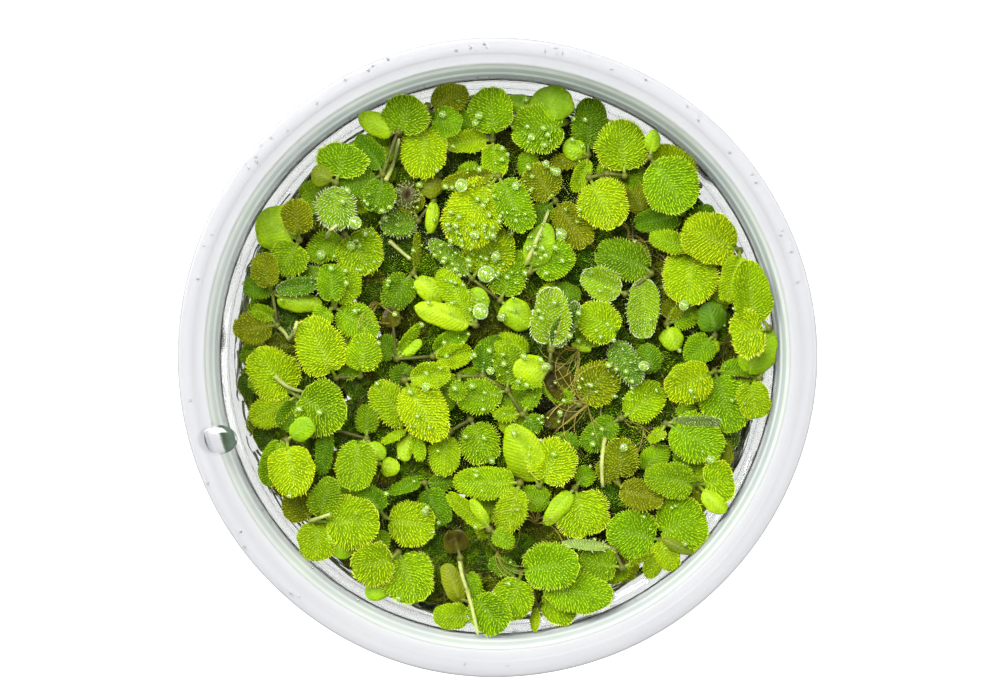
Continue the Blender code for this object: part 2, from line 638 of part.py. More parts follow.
def leaf_solid(name, leaf, joint, stem, pose, offset, collection):
    """A leaf on its stalk: a coarse grid bent into the leaf's form, then pulled up to its thickness."""
    rise, lean, lift = pose
    rows = (None, 0.16, 0.62, 1.0)
    if leaf[4] < NARROW_LEAF:
        rows = (None, 0.18, 1.0)
    if leaf[4] >= BROAD_LEAF:
        rows = (None, 0.14, 0.45, 0.78, 1.0)
    last = len(rows) - 1
    shape = bmesh.new()
    bmesh.ops.create_grid(shape, x_segments=last, y_segments=2, size=1.0)
    away = np.array(joint) - np.array(leaf[2:4])
    away = away / np.hypot(*away)
    side = np.array((away[1], -away[0]))
    for vert in shape.verts:
        row = round((vert.co.x + 1) * last / 2)
        if row == 0:
            flat = np.array(joint) + 0.6 * away + side * vert.co.y * PETIOLE_HALF_WIDTH
            point = (flat[0], flat[1], stem + offset)
        else:
            u = np.array(rows[row] * (1 - 0.07 * (row == last) * abs(vert.co.y)))
            reach = 0.72 if row == last else 1.0
            point = leaf_points(leaf, u, np.array(vert.co.y * reach), stem + lift, rise, lean)
        vert.co = [value * MM for value in point]
    grown = bmesh.ops.extrude_face_region(shape, geom=shape.faces[:])
    top = [item for item in grown["geom"] if isinstance(item, bmesh.types.BMVert)]
    bmesh.ops.translate(shape, verts=top, vec=(0.0, 0.0, LEAF_THICKNESS * MM))
    bmesh.ops.triangulate(shape, faces=shape.faces[:])
    bmesh.ops.recalc_face_normals(shape, faces=shape.faces[:])
    mesh = bpy.data.meshes.new(name)
    shape.to_mesh(mesh)
    shape.free()
    made = bpy.data.objects.new(name, mesh)
    collection.objects.link(made)
    return made


def tube(name, points, radii, sides, collection):
    """A closed tube through points in millimetres, with a radius at each."""
    curve = bpy.data.curves.new(name, "CURVE")
    curve.dimensions = "3D"
    curve.bevel_depth = MM
    curve.bevel_resolution = sides
    curve.use_fill_caps = True
    spline = curve.splines.new("POLY")
    spline.points.add(len(points) - 1)
    for target, point, radius in zip(spline.points, points, radii):
        target.co = (*[value * MM for value in point], 1.0)
        target.radius = radius
    holder = bpy.data.objects.new(name, curve)
    collection.objects.link(holder)
    graph = bpy.context.evaluated_depsgraph_get()
    mesh = bpy.data.meshes.new_from_object(holder.evaluated_get(graph))
    bpy.data.objects.remove(holder, do_unlink=True)
    shape = bmesh.new()
    shape.from_mesh(mesh)
    bmesh.ops.remove_doubles(shape, verts=shape.verts[:], dist=1e-6)
    bmesh.ops.recalc_face_normals(shape, faces=shape.faces[:])
    shape.to_mesh(mesh)
    shape.free()
    made = bpy.data.objects.new(name, mesh)
    collection.objects.link(made)
    return made


def fill_cavities(mesh):
    """Takes out every shell but the largest: where leaves of one fern meet, they can close in a hollow."""
    shape = bmesh.new()
    shape.from_mesh(mesh)
    left = set(shape.verts)
    shells = []
    while left:
        front = [left.pop()]
        shell = list(front)
        while front:
            near = [edge.other_vert(vert) for vert in front for edge in vert.link_edges]
            front = [vert for vert in set(near) if vert in left]
            left.difference_update(front)
            shell += front
        shells.append(shell)
    shells.sort(key=len)
    inner = [vert for shell in shells[:-1] for vert in shell]
    bmesh.ops.delete(shape, geom=inner, context="VERTS")
    shape.to_mesh(mesh)
    shape.free()


def fused(pieces, name, collection, material):
    """One closed body from overlapping pieces."""
    body = pieces[0]
    for number, other in enumerate(pieces[1:]):
        join = body.modifiers.new(f"Join {number}", "BOOLEAN")
        join.operation = "UNION"
        join.solver = "EXACT"
        join.object = other
    graph = bpy.context.evaluated_depsgraph_get()
    mesh = bpy.data.meshes.new_from_object(body.evaluated_get(graph))
    fill_cavities(mesh)
    mesh.name = name
    mesh.materials.clear()
    mesh.materials.append(material)
    for piece in pieces:
        bpy.data.objects.remove(piece, do_unlink=True)
    made = bpy.data.objects.new(name, mesh)
    collection.objects.link(made)
    return made


def root_points(joint, top, grow):
    """Centre line and radii of a root, or of its pocket in the water where grow is above 0."""
    x, y = joint
    lean = np.array((math.sin(3.1 * x + y), math.cos(2.3 * y - x))) * 0.08
    depths = (0.8, 4.0, 0.62 * ROOT_LENGTH, ROOT_LENGTH + 1.2 * grow)
    shares = (0.45, 1.0, 0.72, 0.22)
    points = [(x, y, top)]
    radii = [ROOT_NECK + grow]
    for depth, share in zip(depths, shares):
        points.append((x + lean[0] * depth, y + lean[1] * depth, WATER_LEVEL - depth))
        radii.append(ROOT_RADIUS * share + grow)
    return points, radii


def build_fern(number, fern, settled, roots, collection, helpers, material):
    joints, leaves = fern
    stem, poses, _ = settled
    name = f"fern_{number + 1:02d}"
    pieces = []
    least = min(SMALLEST_SOLID_LEAF, max(leaf[4] for leaf in leaves))
    for count, (leaf, pose) in enumerate(zip(leaves, poses)):
        if leaf[4] < least:
            continue
        joint = nearest(joints, leaf[:2])
        offset = 0.06 * count
        pieces.append(leaf_solid(f"{name} leaf", leaf, joint, stem, pose, offset, helpers))
    middle = stem + STEM_RADIUS
    if len(joints) > 1:
        line = [(x, y, middle) for x, y in joints]
        pieces.append(tube(f"{name} stem", line, [STEM_RADIUS] * len(line), 0, helpers))
    for owner, joint in roots:
        if owner == number:
            points, radii = root_points(joint, middle, 0.0)
            pieces.append(tube(f"{name} root", points, radii, 1, helpers))
    return fused(pieces, name, collection, material)


def build_water(roots, collection, cutters, material):
    """The water, with a pocket round each root so that the two solids don't share space."""
    water = turned("water", water_profile(), collection, material)
    pockets = []
    for _, joint in roots:
        points, radii = root_points(joint, WATER_LEVEL + 3.0, GAP + 0.05)
        pockets.append(tube("pocket", points, radii, 1, cutters))
    for number, pocket in enumerate(pockets):
        pocket.name = f"root pocket {number + 1:02d}"
        pocket.display_type = "WIRE"
        pocket.hide_render = True
        cut = water.modifiers.new(f"Pocket {number + 1:02d}", "BOOLEAN")
        cut.operation = "DIFFERENCE"
        cut.solver = "EXACT"
        cut.object = pocket
    return water


def main():
    clear_scene()
    parts = new_collection("water spangles", hidden=False)
    cutters = new_collection("cutters", hidden=True)

    clear_plastic = finish("clear plastic", (0.92, 0.95, 0.96), 0.08, 0.9, 0.35)
    water_finish = finish("water", (0.72, 0.80, 0.72), 0.02, 0.9, 0.45)
    greens = {tone: finish(f"fern {tone}", colour, 0.55) for tone, colour in TONES.items()}

    turned("cup", cup_profile(), parts, clear_plastic)
    settled = settle(FERNS)
    roots = choose_roots(settled)
    build_water(roots, parts, cutters, water_finish)
    for number, fern in enumerate(FERNS):
        tone = fern[1][-1][5]
        build_fern(number, fern, settled[number], roots, parts, cutters, greens[tone])

    tops = [stem for stem, _, _ in settled]
    print(f"{len(FERNS)} ferns, {len(roots)} roots, highest stem {max(tops):.1f} mm")


main()
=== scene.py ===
# %% [markdown]
# # Water spangles in a clear tub
# Water spangles are small floating ferns. Each one has a short stem on the water, oval leaves set with
# rows of stiff hairs that keep them dry, and a bundle of brown root threads under it. Here a colony of
# them crowds the water of a round, clear plastic tub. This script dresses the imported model: it keeps
# its frame, and makes every surface fine enough to look at.

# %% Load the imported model
import math

import bpy
import numpy as np
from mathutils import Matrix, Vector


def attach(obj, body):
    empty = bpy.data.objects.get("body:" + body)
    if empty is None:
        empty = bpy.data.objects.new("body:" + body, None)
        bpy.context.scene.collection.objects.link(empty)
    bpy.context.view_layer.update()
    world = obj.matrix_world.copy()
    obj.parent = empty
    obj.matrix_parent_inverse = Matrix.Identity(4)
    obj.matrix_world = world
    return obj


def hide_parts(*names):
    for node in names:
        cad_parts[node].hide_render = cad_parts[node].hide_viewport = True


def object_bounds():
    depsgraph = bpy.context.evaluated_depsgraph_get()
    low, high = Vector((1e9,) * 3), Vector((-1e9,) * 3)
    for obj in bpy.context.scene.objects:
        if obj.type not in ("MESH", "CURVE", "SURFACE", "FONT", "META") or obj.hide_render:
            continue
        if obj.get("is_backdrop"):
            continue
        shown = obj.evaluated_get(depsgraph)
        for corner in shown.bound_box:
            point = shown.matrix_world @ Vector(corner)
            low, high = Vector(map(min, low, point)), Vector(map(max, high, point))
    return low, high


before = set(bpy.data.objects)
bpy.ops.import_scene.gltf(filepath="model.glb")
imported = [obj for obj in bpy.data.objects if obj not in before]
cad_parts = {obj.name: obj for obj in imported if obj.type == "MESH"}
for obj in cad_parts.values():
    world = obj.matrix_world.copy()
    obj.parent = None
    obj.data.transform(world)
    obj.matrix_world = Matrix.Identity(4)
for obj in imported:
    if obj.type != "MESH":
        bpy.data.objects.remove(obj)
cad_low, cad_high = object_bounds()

MM = 0.001
rng = np.random.default_rng(11)
print("The packed model's box in mm:", [round(value / MM, 1) for value in (*cad_low, *cad_high)])

# %% [markdown]
# ## The camera
# The tub was photographed from straight above. A camera with no rotation looks down the Z axis with
# +Y up in the picture, so only its place and its lens matter. The lens is chosen so that 1000 pixels
# span the width that they span in the photograph at the height of the leaves.

# %% Camera
SENSOR = 36.0
PICTURE_WIDTH = 1000
LEAF_PLANE = 38.0
CAMERA_X = 0.55
CAMERA_Y = 1.23
CAMERA_HEIGHT = 440.0
MM_PER_PIXEL = 0.1833
scene = bpy.context.scene


def new_object(name, data):
    made = bpy.data.objects.new(name, data)
    scene.collection.objects.link(made)
    return made


eye = bpy.data.cameras.new("camera")
eye.sensor_width = SENSOR
eye.lens = (CAMERA_HEIGHT - LEAF_PLANE) * SENSOR / (MM_PER_PIXEL * PICTURE_WIDTH)
eye.clip_start = 0.01
camera = new_object("camera", eye)
camera.location = (CAMERA_X * MM, CAMERA_Y * MM, CAMERA_HEIGHT * MM)
scene.camera = camera
print(f"Lens {eye.lens:.1f} mm")

# %% [markdown]
# ## Writing materials as sums
# A material is a graph of nodes, which soon gets hard to read as code. Wrapping a node's output in a
# small class whose plus and times add Math nodes lets the pattern on a leaf be written as a formula.
# Any other node comes from one method, so that every graph below is built in the same way.

# %% Material helpers
class Wire:
    """An output socket that can be added, subtracted and multiplied like a number."""

    def __init__(self, finish, socket):
        self.finish = finish
        self.socket = socket

    def maths(self, operation, first, second=None):
        values = {0: first} if second is None else {0: first, 1: second}
        return self.finish.node("ShaderNodeMath", {"operation": operation}, values)

    def __add__(self, other):
        return self.maths("ADD", self, other)

    def __radd__(self, other):
        return self.maths("ADD", other, self)

    def __sub__(self, other):
        return self.maths("SUBTRACT", self, other)

    def __rsub__(self, other):
        return self.maths("SUBTRACT", other, self)

    def __mul__(self, other):
        return self.maths("MULTIPLY", self, other)

    def __rmul__(self, other):
        return self.maths("MULTIPLY", other, self)

    def __abs__(self):
        return self.maths("ABSOLUTE", self)

    def sine(self):
        return self.maths("SINE", self)


class Finish:
    """A material with one Principled shader, and the methods that make nodes for it."""

    def __init__(self, name, **constants):
        self.material = bpy.data.materials.new(name)
        self.material.use_nodes = True
        self.tree = self.material.node_tree
        self.shader = self.tree.nodes["Principled BSDF"]
        self.give(**constants)

    def join(self, socket, value):
        if isinstance(value, Wire):
            self.tree.links.new(value.socket, socket)
        else:
            socket.default_value = value

    def node(self, kind, settings=None, values=None, out=0):
        """Makes a node: its settings first, then the values or wires of its sockets."""
        made = self.tree.nodes.new(kind)
        for label, value in (settings or {}).items():
            setattr(made, label, value)
        for label, value in (values or {}).items():
            self.join(made.inputs[label], value)
        return Wire(self, made.outputs[out])

    def blend(self, first, second, share, kind="MIX"):
        """Two colours mixed: the Mix node takes them at its inputs 6 and 7, and gives one at output 2."""
        settings = {"data_type": "RGBA", "blend_type": kind}
        return self.node("ShaderNodeMix", settings, {0: share, 6: first, 7: second}, out=2)

    def multiply(self, first, second, share=1.0):
        return self.blend(first, second, share, "MULTIPLY")

    def tint(self):
        """The colour that each point of the mesh carries."""
        return self.node("ShaderNodeAttribute", {"attribute_name": "tint"})

    def speckle(self, scale, detail=3.0):
        """Noise with so many specks to the metre, fixed to the piece."""
        place = self.node("ShaderNodeTexCoord", out="Object")
        return self.node("ShaderNodeTexNoise", None, {"Vector": place, "Scale": scale, "Detail": detail})

    def bump(self, height, strength, distance):
        values = {"Height": height, "Strength": strength, "Distance": distance}
        return self.node("ShaderNodeBump", None, values)

    def give(self, **links):
        """Sets or wires the shader's sockets; an underscore in a name stands for a space."""
        for label, value in links.items():
            self.join(self.shader.inputs[label.replace("_", " ")], value)
        return self.material


# %% [markdown]
# ## Floor and light
# A pale floor that glows a little, as a light table does, gives the plain white ground and lights the
# clear plastic from below. The sky is bright all round, but dark straight above: still water mirrors
# what is over it, and a dark patch there keeps the gaps between the leaves deep. A large soft lamp,
# high and a little behind, gives most of the light and the white heart of every drop. It hangs just
# outside what level water mirrors to the camera. Two lower ones at the sides bring out the hairs.

# %% Floor
FLOOR_HALF = 1.5
FLOOR_DEPTH = 0.0002
corners = [
    (x * FLOOR_HALF, y * FLOOR_HALF, -FLOOR_DEPTH)
    for x, y in ((-1, -1), (1, -1), (1, 1), (-1, 1))
]
floor_mesh = bpy.data.meshes.new("floor")
floor_mesh.from_pydata(corners, [], [(0, 1, 2, 3)])
floor = new_object("floor", floor_mesh)
floor_finish = Finish(
    "pale floor",
    Base_Color=(0.35, 0.35, 0.35, 1.0),
    Roughness=0.9,
    Emission_Color=(1.0, 1.0, 1.0, 1.0),
    Emission_Strength=1.0,
)
floor.data.materials.append(floor_finish.material)
floor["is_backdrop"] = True

# %% Sky
# Brightness against how steeply one looks up: 0 at the horizon, 1 straight above
SKY_STOPS = ((0.0, 1.0), (0.45, 1.1), (0.90, 0.8), (0.97, 0.04))
SKY_STRENGTH = 0.75
scene.view_settings.view_transform = "Standard"
sky = bpy.data.worlds.new("studio")
sky.use_nodes = True
scene.world = sky
sky_nodes = sky.node_tree.nodes
sky_links = sky.node_tree.links
direction = sky_nodes.new("ShaderNodeTexCoord")
parts_of_direction = sky_nodes.new("ShaderNodeSeparateXYZ")
sky_ramp = sky_nodes.new("ShaderNodeValToRGB")
sky_ramp.color_ramp.elements.new(0.5)
sky_ramp.color_ramp.elements.new(0.9)
for stop, (height, light) in zip(sky_ramp.color_ramp.elements, SKY_STOPS):
    stop.position = height
    stop.color = (light, light, light, 1.0)
sky_links.new(direction.outputs["Generated"], parts_of_direction.inputs[0])
sky_links.new(parts_of_direction.outputs["Z"], sky_ramp.inputs[0])
sky_links.new(sky_ramp.outputs[0], sky_nodes["Background"].inputs["Color"])
sky_nodes["Background"].inputs["Strength"].default_value = SKY_STRENGTH

# %% Lamps
def lamp(name, place, size, power):
    """A rectangle of light that faces the tub; its place and size are in metres."""
    light = bpy.data.lights.new(name, "AREA")
    light.shape = "RECTANGLE"
    light.size, light.size_y = size
    light.energy = power
    made = new_object(name, light)
    made.location = place
    aim = -made.location.normalized()
    made.rotation_euler = aim.to_track_quat("-Z", "Y").to_euler()


lamp("lamp above", (-0.15, 0.42, 0.90), (0.40, 0.40), 9.3)
lamp("lamp left", (-0.50, 0.40, 0.52), (0.35, 0.35), 6.4)
lamp("lamp right", (0.62, 0.05, 0.50), (0.30, 0.45), 3.4)
print("A glowing floor, a sky and three lamps")


# %% [markdown]
# ## Meshes from arrays
# A colony like this has tens of thousands of hairs. Adding them one by one would be slow, so each kind
# of piece is made as NumPy arrays of points and faces, and a heap gathers the arrays of one fern. Every
# point carries a colour, its tint, which the materials read: one material then serves every green.

# %% A heap of points and faces
class Heap:
    """Gathers points, faces, tints and grain places in millimetres, then makes one object of them."""

    def __init__(self):
        self.count = 0
        self.points, self.tints, self.grains = [], [], []
        self.sizes, self.corners, self.slots = [], [], []

    def add(self, points, faces, tints, slot, grains=None):
        """faces is a list of arrays, one of triangles and one of four-sided faces, or either."""
        points = np.asarray(points, float).reshape(-1, 3)
        self.points.append(points)
        self.tints.append(np.broadcast_to(np.asarray(tints, float), (len(points), 3)))
        self.grains.append(np.zeros((len(points), 2)) if grains is None else grains)
        for group in faces:
            group = np.asarray(group, int)
            self.sizes.append(np.full(len(group), group.shape[1]))
            self.corners.append((group + self.count).ravel())
            self.slots.append(np.broadcast_to(slot, len(group)))
        self.count += len(points)

    def triangles(self):
        return int(sum((size - 2).sum() for size in self.sizes))

    def build(self, name, materials):
        points = np.concatenate(self.points) * MM
        corners = np.concatenate(self.corners)
        sizes = np.concatenate(self.sizes)
        mesh = bpy.data.meshes.new(name)
        mesh.vertices.add(len(points))
        mesh.vertices.foreach_set("co", points.ravel())
        mesh.loops.add(len(corners))
        mesh.loops.foreach_set("vertex_index", corners)
        mesh.polygons.add(len(sizes))
        starts = np.concatenate([[0], np.cumsum(sizes)[:-1]])
        mesh.polygons.foreach_set("loop_start", starts)
        mesh.polygons.foreach_set("material_index", np.concatenate(self.slots))
        mesh.polygons.foreach_set("use_smooth", np.ones(len(sizes), bool))
        mesh.update(calc_edges=True)
        tint = mesh.color_attributes.new("tint", "FLOAT_COLOR", "POINT")
        colours = np.ones((len(points), 4))
        colours[:, :3] = np.clip(np.concatenate(self.tints), 0.0, 1.0)
        tint.data.foreach_set("color", colours.ravel())
        grain = mesh.uv_layers.new(name="grain")
        grain.data.foreach_set("uv", np.concatenate(self.grains)[corners].ravel())
        for material in materials:
            mesh.materials.append(material)
        return new_object(name, mesh)


def grid_faces(rows, columns, closed=False):
    """Four-sided faces of a grid of points, row after row; closed joins the last column to the first."""
    last = columns if closed else columns - 1
    row, column = np.meshgrid(np.arange(rows - 1), np.arange(last), indexing="ij")
    after = (column + 1) % columns
    here, beside = row * columns + column, row * columns + after
    return np.stack([here, beside, beside + columns, here + columns], -1).reshape(-1, 4)


def lathe(profile, segments, tint, heap, slot, wobble=None):
    """Adds a surface turned round Z from a list of (radius, height); slot is one number, or one a band.

    The list runs outwards along the top and inwards along the bottom, so the faces look outwards.
    """
    profile = np.array(profile, float)
    turn = np.linspace(0, 2 * math.pi, segments, endpoint=False)
    radius, angle = np.meshgrid(profile[:, 0], turn, indexing="ij")
    height = np.repeat(profile[:, 1:], segments, axis=1)
    if wobble is not None:
        radius = radius + wobble(angle, height)
    points = np.stack([radius * np.cos(angle), radius * np.sin(angle), height], -1)
    faces = grid_faces(len(profile), segments, closed=True)[:, ::-1]
    heap.add(points, [faces], tint, slot if np.isscalar(slot) else np.repeat(slot, segments))


# %% [markdown]
# ## The tub
# A round food tub is pressed from one thin sheet: a flat floor on a foot ring, a wall that widens
# upwards, a ledge for the lid and a rim that turns outwards. Its section is a line of points, and
# turning that line round the axis gives the whole body. A rounded rim and floor edge need points along
# small arcs, because clear plastic shows every corner as a line. The wall is clear under water and
# hazy over it, where two darker grey-green lines run round: a painted reflection of the leaves in the
# wall, darker on one side. The ledge and the rim are frosted, so they read as pale grey on the white
# ground, with darker greys at the rim's outer edge and at the step as painted shade. Each of the three
# gets a finish of its own.

# %% The tub's section
CUP_HEIGHT = 48.0
RIM_RADIUS = 57.5
MOUTH_RADIUS = 54.5
WALL = 1.0
WALL_SLOPE = 0.129
FLOOR_TOP = 2.4
FLOOR_ROUNDING = 2.2
FOOT_OUTER = 47.2
FOOT_INNER = 43.8
FOOT_RECESS = 1.1
BRIM_TOP = 47.88
LEDGE_TOP = 47.6
LEDGE_RADIUS = 52.6
HAZE_FROM = 34.2
FROST_FROM = 46.4
BAND_HEIGHTS = (36.0, 36.6, 38.6, 39.2, 40.6, 41.2, 43.6, 44.4)
BAND_REFLECTION_DARKNESS = (0.0, 1.0, 0.9, 0.05, 0.0, 0.75, 0.65, 0.0)
TUB_SEGMENTS = 256
PLASTIC_IOR = 1.49
CLEAR, FROSTED, HAZY = range(3)
WALL_PLACES = ((0.0, 48.3), (8.0, 49.3), (20.0, 50.75), (35.0, 51.55), (47.4, 52.55))
WATER_LEVEL = 33.0
MENISCUS_RISE = 2.0
MENISCUS_WIDTH = 3.0
MENISCUS_FALL = 2.2


def inner_radius(height):
    return MOUTH_RADIUS - WALL_SLOPE * (CUP_HEIGHT - height)


def wall_radius(height):
    """The inside of the wall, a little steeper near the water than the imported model's straight cone."""
    return np.interp(height, *zip(*WALL_PLACES))


def arc(middle, radius, first, last, count):
    """Points round an arc of the section; angles in degrees from +radius towards +height."""
    angles = np.radians(np.linspace(first, last, count))
    return [(middle[0] + radius * math.cos(a), middle[1] + radius * math.sin(a)) for a in angles]


floor_edge = float(wall_radius(FLOOR_TOP + 2))
floor_corner = (floor_edge - FLOOR_ROUNDING, FLOOR_TOP + FLOOR_ROUNDING)
inside = [(0.0, FLOOR_TOP), (20.0, FLOOR_TOP), (floor_edge - 4.0, FLOOR_TOP)]
inside += arc(floor_corner, FLOOR_ROUNDING, -80, -8, 7)
inside_heights = (8.0, 14.0, 20.0, 26.0, 31.0, HAZE_FROM, *BAND_HEIGHTS, FROST_FROM, LEDGE_TOP - 0.6)
inside += [(wall_radius(z), z) for z in inside_heights]
shoulder = arc((LEDGE_RADIUS + 0.4, LEDGE_TOP - 0.4), 0.4, 172, 96, 5) + [(MOUTH_RADIUS - 0.3, LEDGE_TOP)]
brim = [(MOUTH_RADIUS, LEDGE_TOP + 0.14), (MOUTH_RADIUS + 0.3, BRIM_TOP), (RIM_RADIUS - 1.1, BRIM_TOP)]
roll = arc((RIM_RADIUS - 0.7, BRIM_TOP - 0.65), 0.65, 85, -20, 8)
roll += [(RIM_RADIUS, CUP_HEIGHT - 2.0)]
roll += arc((RIM_RADIUS - 0.35, CUP_HEIGHT - 2.0), 0.35, 0, -180, 6)
under = [(RIM_RADIUS - 0.75, CUP_HEIGHT - 1.2), (MOUTH_RADIUS + 0.3, CUP_HEIGHT - 1.0)]
under += [(wall_radius(CUP_HEIGHT - 1.6) + WALL, CUP_HEIGHT - 1.6)]
outside_heights = (45.0, 41.0, 37.5, HAZE_FROM, 30.0, 25.0, 20.0, 11.0, 4.0)
outside = [(wall_radius(z) + WALL, z) for z in outside_heights]
outside += arc((FOOT_OUTER - 0.9, 0.9), 0.9, -10, -90, 6)
foot = arc((FOOT_INNER + 0.6, 0.6), 0.6, -90, -180, 4)
foot += [(FOOT_INNER - 0.4, FOOT_RECESS), (20.0, FOOT_RECESS), (0.0, FOOT_RECESS)]
tub_section = inside + shoulder + brim + roll + under + outside + foot
print(f"The tub's section has {len(tub_section)} points")


def wall_wobble(angle, height):
    """Thin pressed plastic is never quite round: it is pulled in by up to 0.3 mm, less at the foot."""
    share = height / CUP_HEIGHT
    return share * (0.10 * np.sin(3 * angle + 0.7) + 0.04 * np.sin(7 * angle + 2.0) - 0.15)


# %% The tub's finishes
clear_plastic = Finish(
    "clear plastic",
    Base_Color=(0.985, 0.99, 0.99, 1.0),
    Roughness=0.04,
    IOR=PLASTIC_IOR,
    Transmission_Weight=0.985,
)
clear_plastic.give(Normal=clear_plastic.bump(clear_plastic.speckle(260.0, 2.0), 0.02, 0.0005))
frosted_plastic = Finish(
    "frosted plastic",
    Roughness=0.45,
    IOR=PLASTIC_IOR,
    Specular_IOR_Level=0.2,
    Transmission_Weight=0.45,
)
haze = frosted_plastic.speckle(90.0, 4.0)
clouded = frosted_plastic.blend((0.90, 0.91, 0.93, 1.0), (0.98, 0.98, 0.98, 1.0), haze)
frosted_plastic.give(
    Base_Color=frosted_plastic.multiply(clouded, frosted_plastic.tint()),
    Normal=frosted_plastic.bump(frosted_plastic.speckle(2200.0, 2.0), 0.15, 0.0002),
)
hazy_plastic = Finish(
    "hazy plastic",
    Roughness=0.55,
    IOR=PLASTIC_IOR,
    Specular_IOR_Level=0.1,
    Transmission_Weight=0.55,
)
haze = hazy_plastic.speckle(120.0, 4.0)
clouded = hazy_plastic.blend((0.92, 0.94, 0.95, 1.0), (0.99, 0.99, 1.0, 1.0), haze)
hazy_plastic.give(
    Base_Color=hazy_plastic.multiply(clouded, hazy_plastic.tint()),
    Normal=hazy_plastic.bump(haze, 0.10, 0.0003),
)

# %% Turn the section into a tub
# The darker greys at the rim's outer edge and at the step are painted shade, the dark lines that the bends draw in
# clear plastic.
EDGE_SHADE_GREY, STEP_SHADE_GREY, LEDGE_GREY, SKIRT_GREY, BRIM_GREY = 0.38, 0.47, 0.54, 0.56, 0.58
band_slots = []
for (r0, z0), (r1, z1) in zip(tub_section[:-1], tub_section[1:]):
    middle = (z0 + z1) / 2
    on_skirt = min(r0, r1) > RIM_RADIUS - 1.5
    is_frosted = middle > FROST_FROM or on_skirt
    band_slots.append(FROSTED if is_frosted else HAZY if middle > HAZE_FROM else CLEAR)


def section_tint(radius, height, angle):
    """The plastic's tint: greys for the rim, darker at its edge and step as painted shade, and grey-green lines of
    painted reflection on the inside wall.
    """
    if height > LEDGE_TOP - 0.8 or radius > RIM_RADIUS - 1.5:
        on_edge = radius > RIM_RADIUS - 0.3
        on_skirt = radius > RIM_RADIUS - 1.3
        on_step = abs(radius - MOUTH_RADIUS) < 0.35
        on_ledge = radius < MOUTH_RADIUS - 0.2
        at_side = EDGE_SHADE_GREY if on_edge else SKIRT_GREY if on_skirt else BRIM_GREY
        grey = STEP_SHADE_GREY if on_step else LEDGE_GREY if on_ledge else at_side
        return (grey, grey, 1.02 * grey)
    if radius > wall_radius(height) + 0.5 * WALL:
        return (0.96, 0.97, 0.98)
    # The lines' darkness paints the leaves mirrored in the wall, and the turn makes it darker on one side: painted
    # reflection.
    dark = float(np.interp(height, BAND_HEIGHTS, BAND_REFLECTION_DARKNESS)) * (0.8 + 0.3 * math.cos(angle - 1.05))
    return (0.97 - 0.62 * dark, 0.98 - 0.55 * dark, 0.98 - 0.58 * dark)


turns = np.linspace(0, 2 * math.pi, TUB_SEGMENTS, endpoint=False)
tints = [section_tint(*place, angle) for place in tub_section for angle in turns]
heap = Heap()
lathe(tub_section, TUB_SEGMENTS, tints, heap, np.array(band_slots), wall_wobble)
tub = heap.build("tub", [clear_plastic.material, frosted_plastic.material, hazy_plastic.material])
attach(tub, "root")
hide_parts("cup")
print(f"Tub: {heap.triangles()} triangles")

# %% [markdown]
# ## The water
# The water is one closed body with a level top. Where it meets the wall it climbs, because water wets
# plastic: the meniscus, about 3 mm wide and 2 mm high, which shows as a bright ring. Its sides pass a
# little into the tub's wall, since a thin sheet of air between the two would mirror like silver.

# %% The water's section
WATER_SEGMENTS = 192
WATER_IN_WALL = 0.25
WATER_IOR = 1.333
top_radius = float(wall_radius(WATER_LEVEL + MENISCUS_RISE)) + WATER_IN_WALL
climb = []
for share in np.linspace(0, 1, 15) ** 0.6:
    radius = top_radius - 8.0 * (1 - share)
    rise = MENISCUS_RISE * math.exp(-MENISCUS_FALL * (top_radius - radius) / MENISCUS_WIDTH)
    climb.append((radius, WATER_LEVEL + rise))
surface = [(0.0, WATER_LEVEL), (20.0, WATER_LEVEL), (38.0, WATER_LEVEL)]
side = [(wall_radius(z) + WATER_IN_WALL, z) for z in (WATER_LEVEL, 28.0, 24.0, 20.0, 14.0, 8.0)]
bottom = arc(floor_corner, FLOOR_ROUNDING + WATER_IN_WALL, -8, -80, 7)
bottom += [(20.0, FLOOR_TOP - 0.2), (0.0, FLOOR_TOP - 0.2)]
water_section = surface + climb + side + bottom
water_finish = Finish(
    "water", Base_Color=(0.98, 0.99, 0.98, 1.0), Roughness=0.0, IOR=WATER_IOR, Transmission_Weight=1.0
)
heap = Heap()
lathe(water_section, WATER_SEGMENTS, (1, 1, 1), heap, 0)
water = heap.build("pond_water", [water_finish.material])
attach(water, "root")
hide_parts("water")
print(f"Water: {heap.triangles()} triangles")

# %% [markdown]
# ## Where every fern lies
# The colony was read from above, fern by fern: where the joints of each stem lie, and each leaf's base,
# tip and width, in millimetres from the tub's axis, with its tone and its form. They are listed from the
# lowest to the highest, because each fern rests on those before it. The same list and the same laying
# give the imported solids, so each dressed fern lies in the place of its solid.

# %% The plan of the colony
FORMS = {
    "open": {"edges": 0.10, "crown": 0.05, "rise": 0.8, "lean": 0.0},
    "folded": {"edges": 0.55, "crown": 0.02, "rise": 1.0, "lean": 0.0},
    "smooth": {"edges": -0.22, "crown": 0.10, "rise": 0.8, "lean": 0.0},
    "edge": {"edges": 0.0, "crown": 0.08, "rise": 0.6, "lean": 1.3},
}

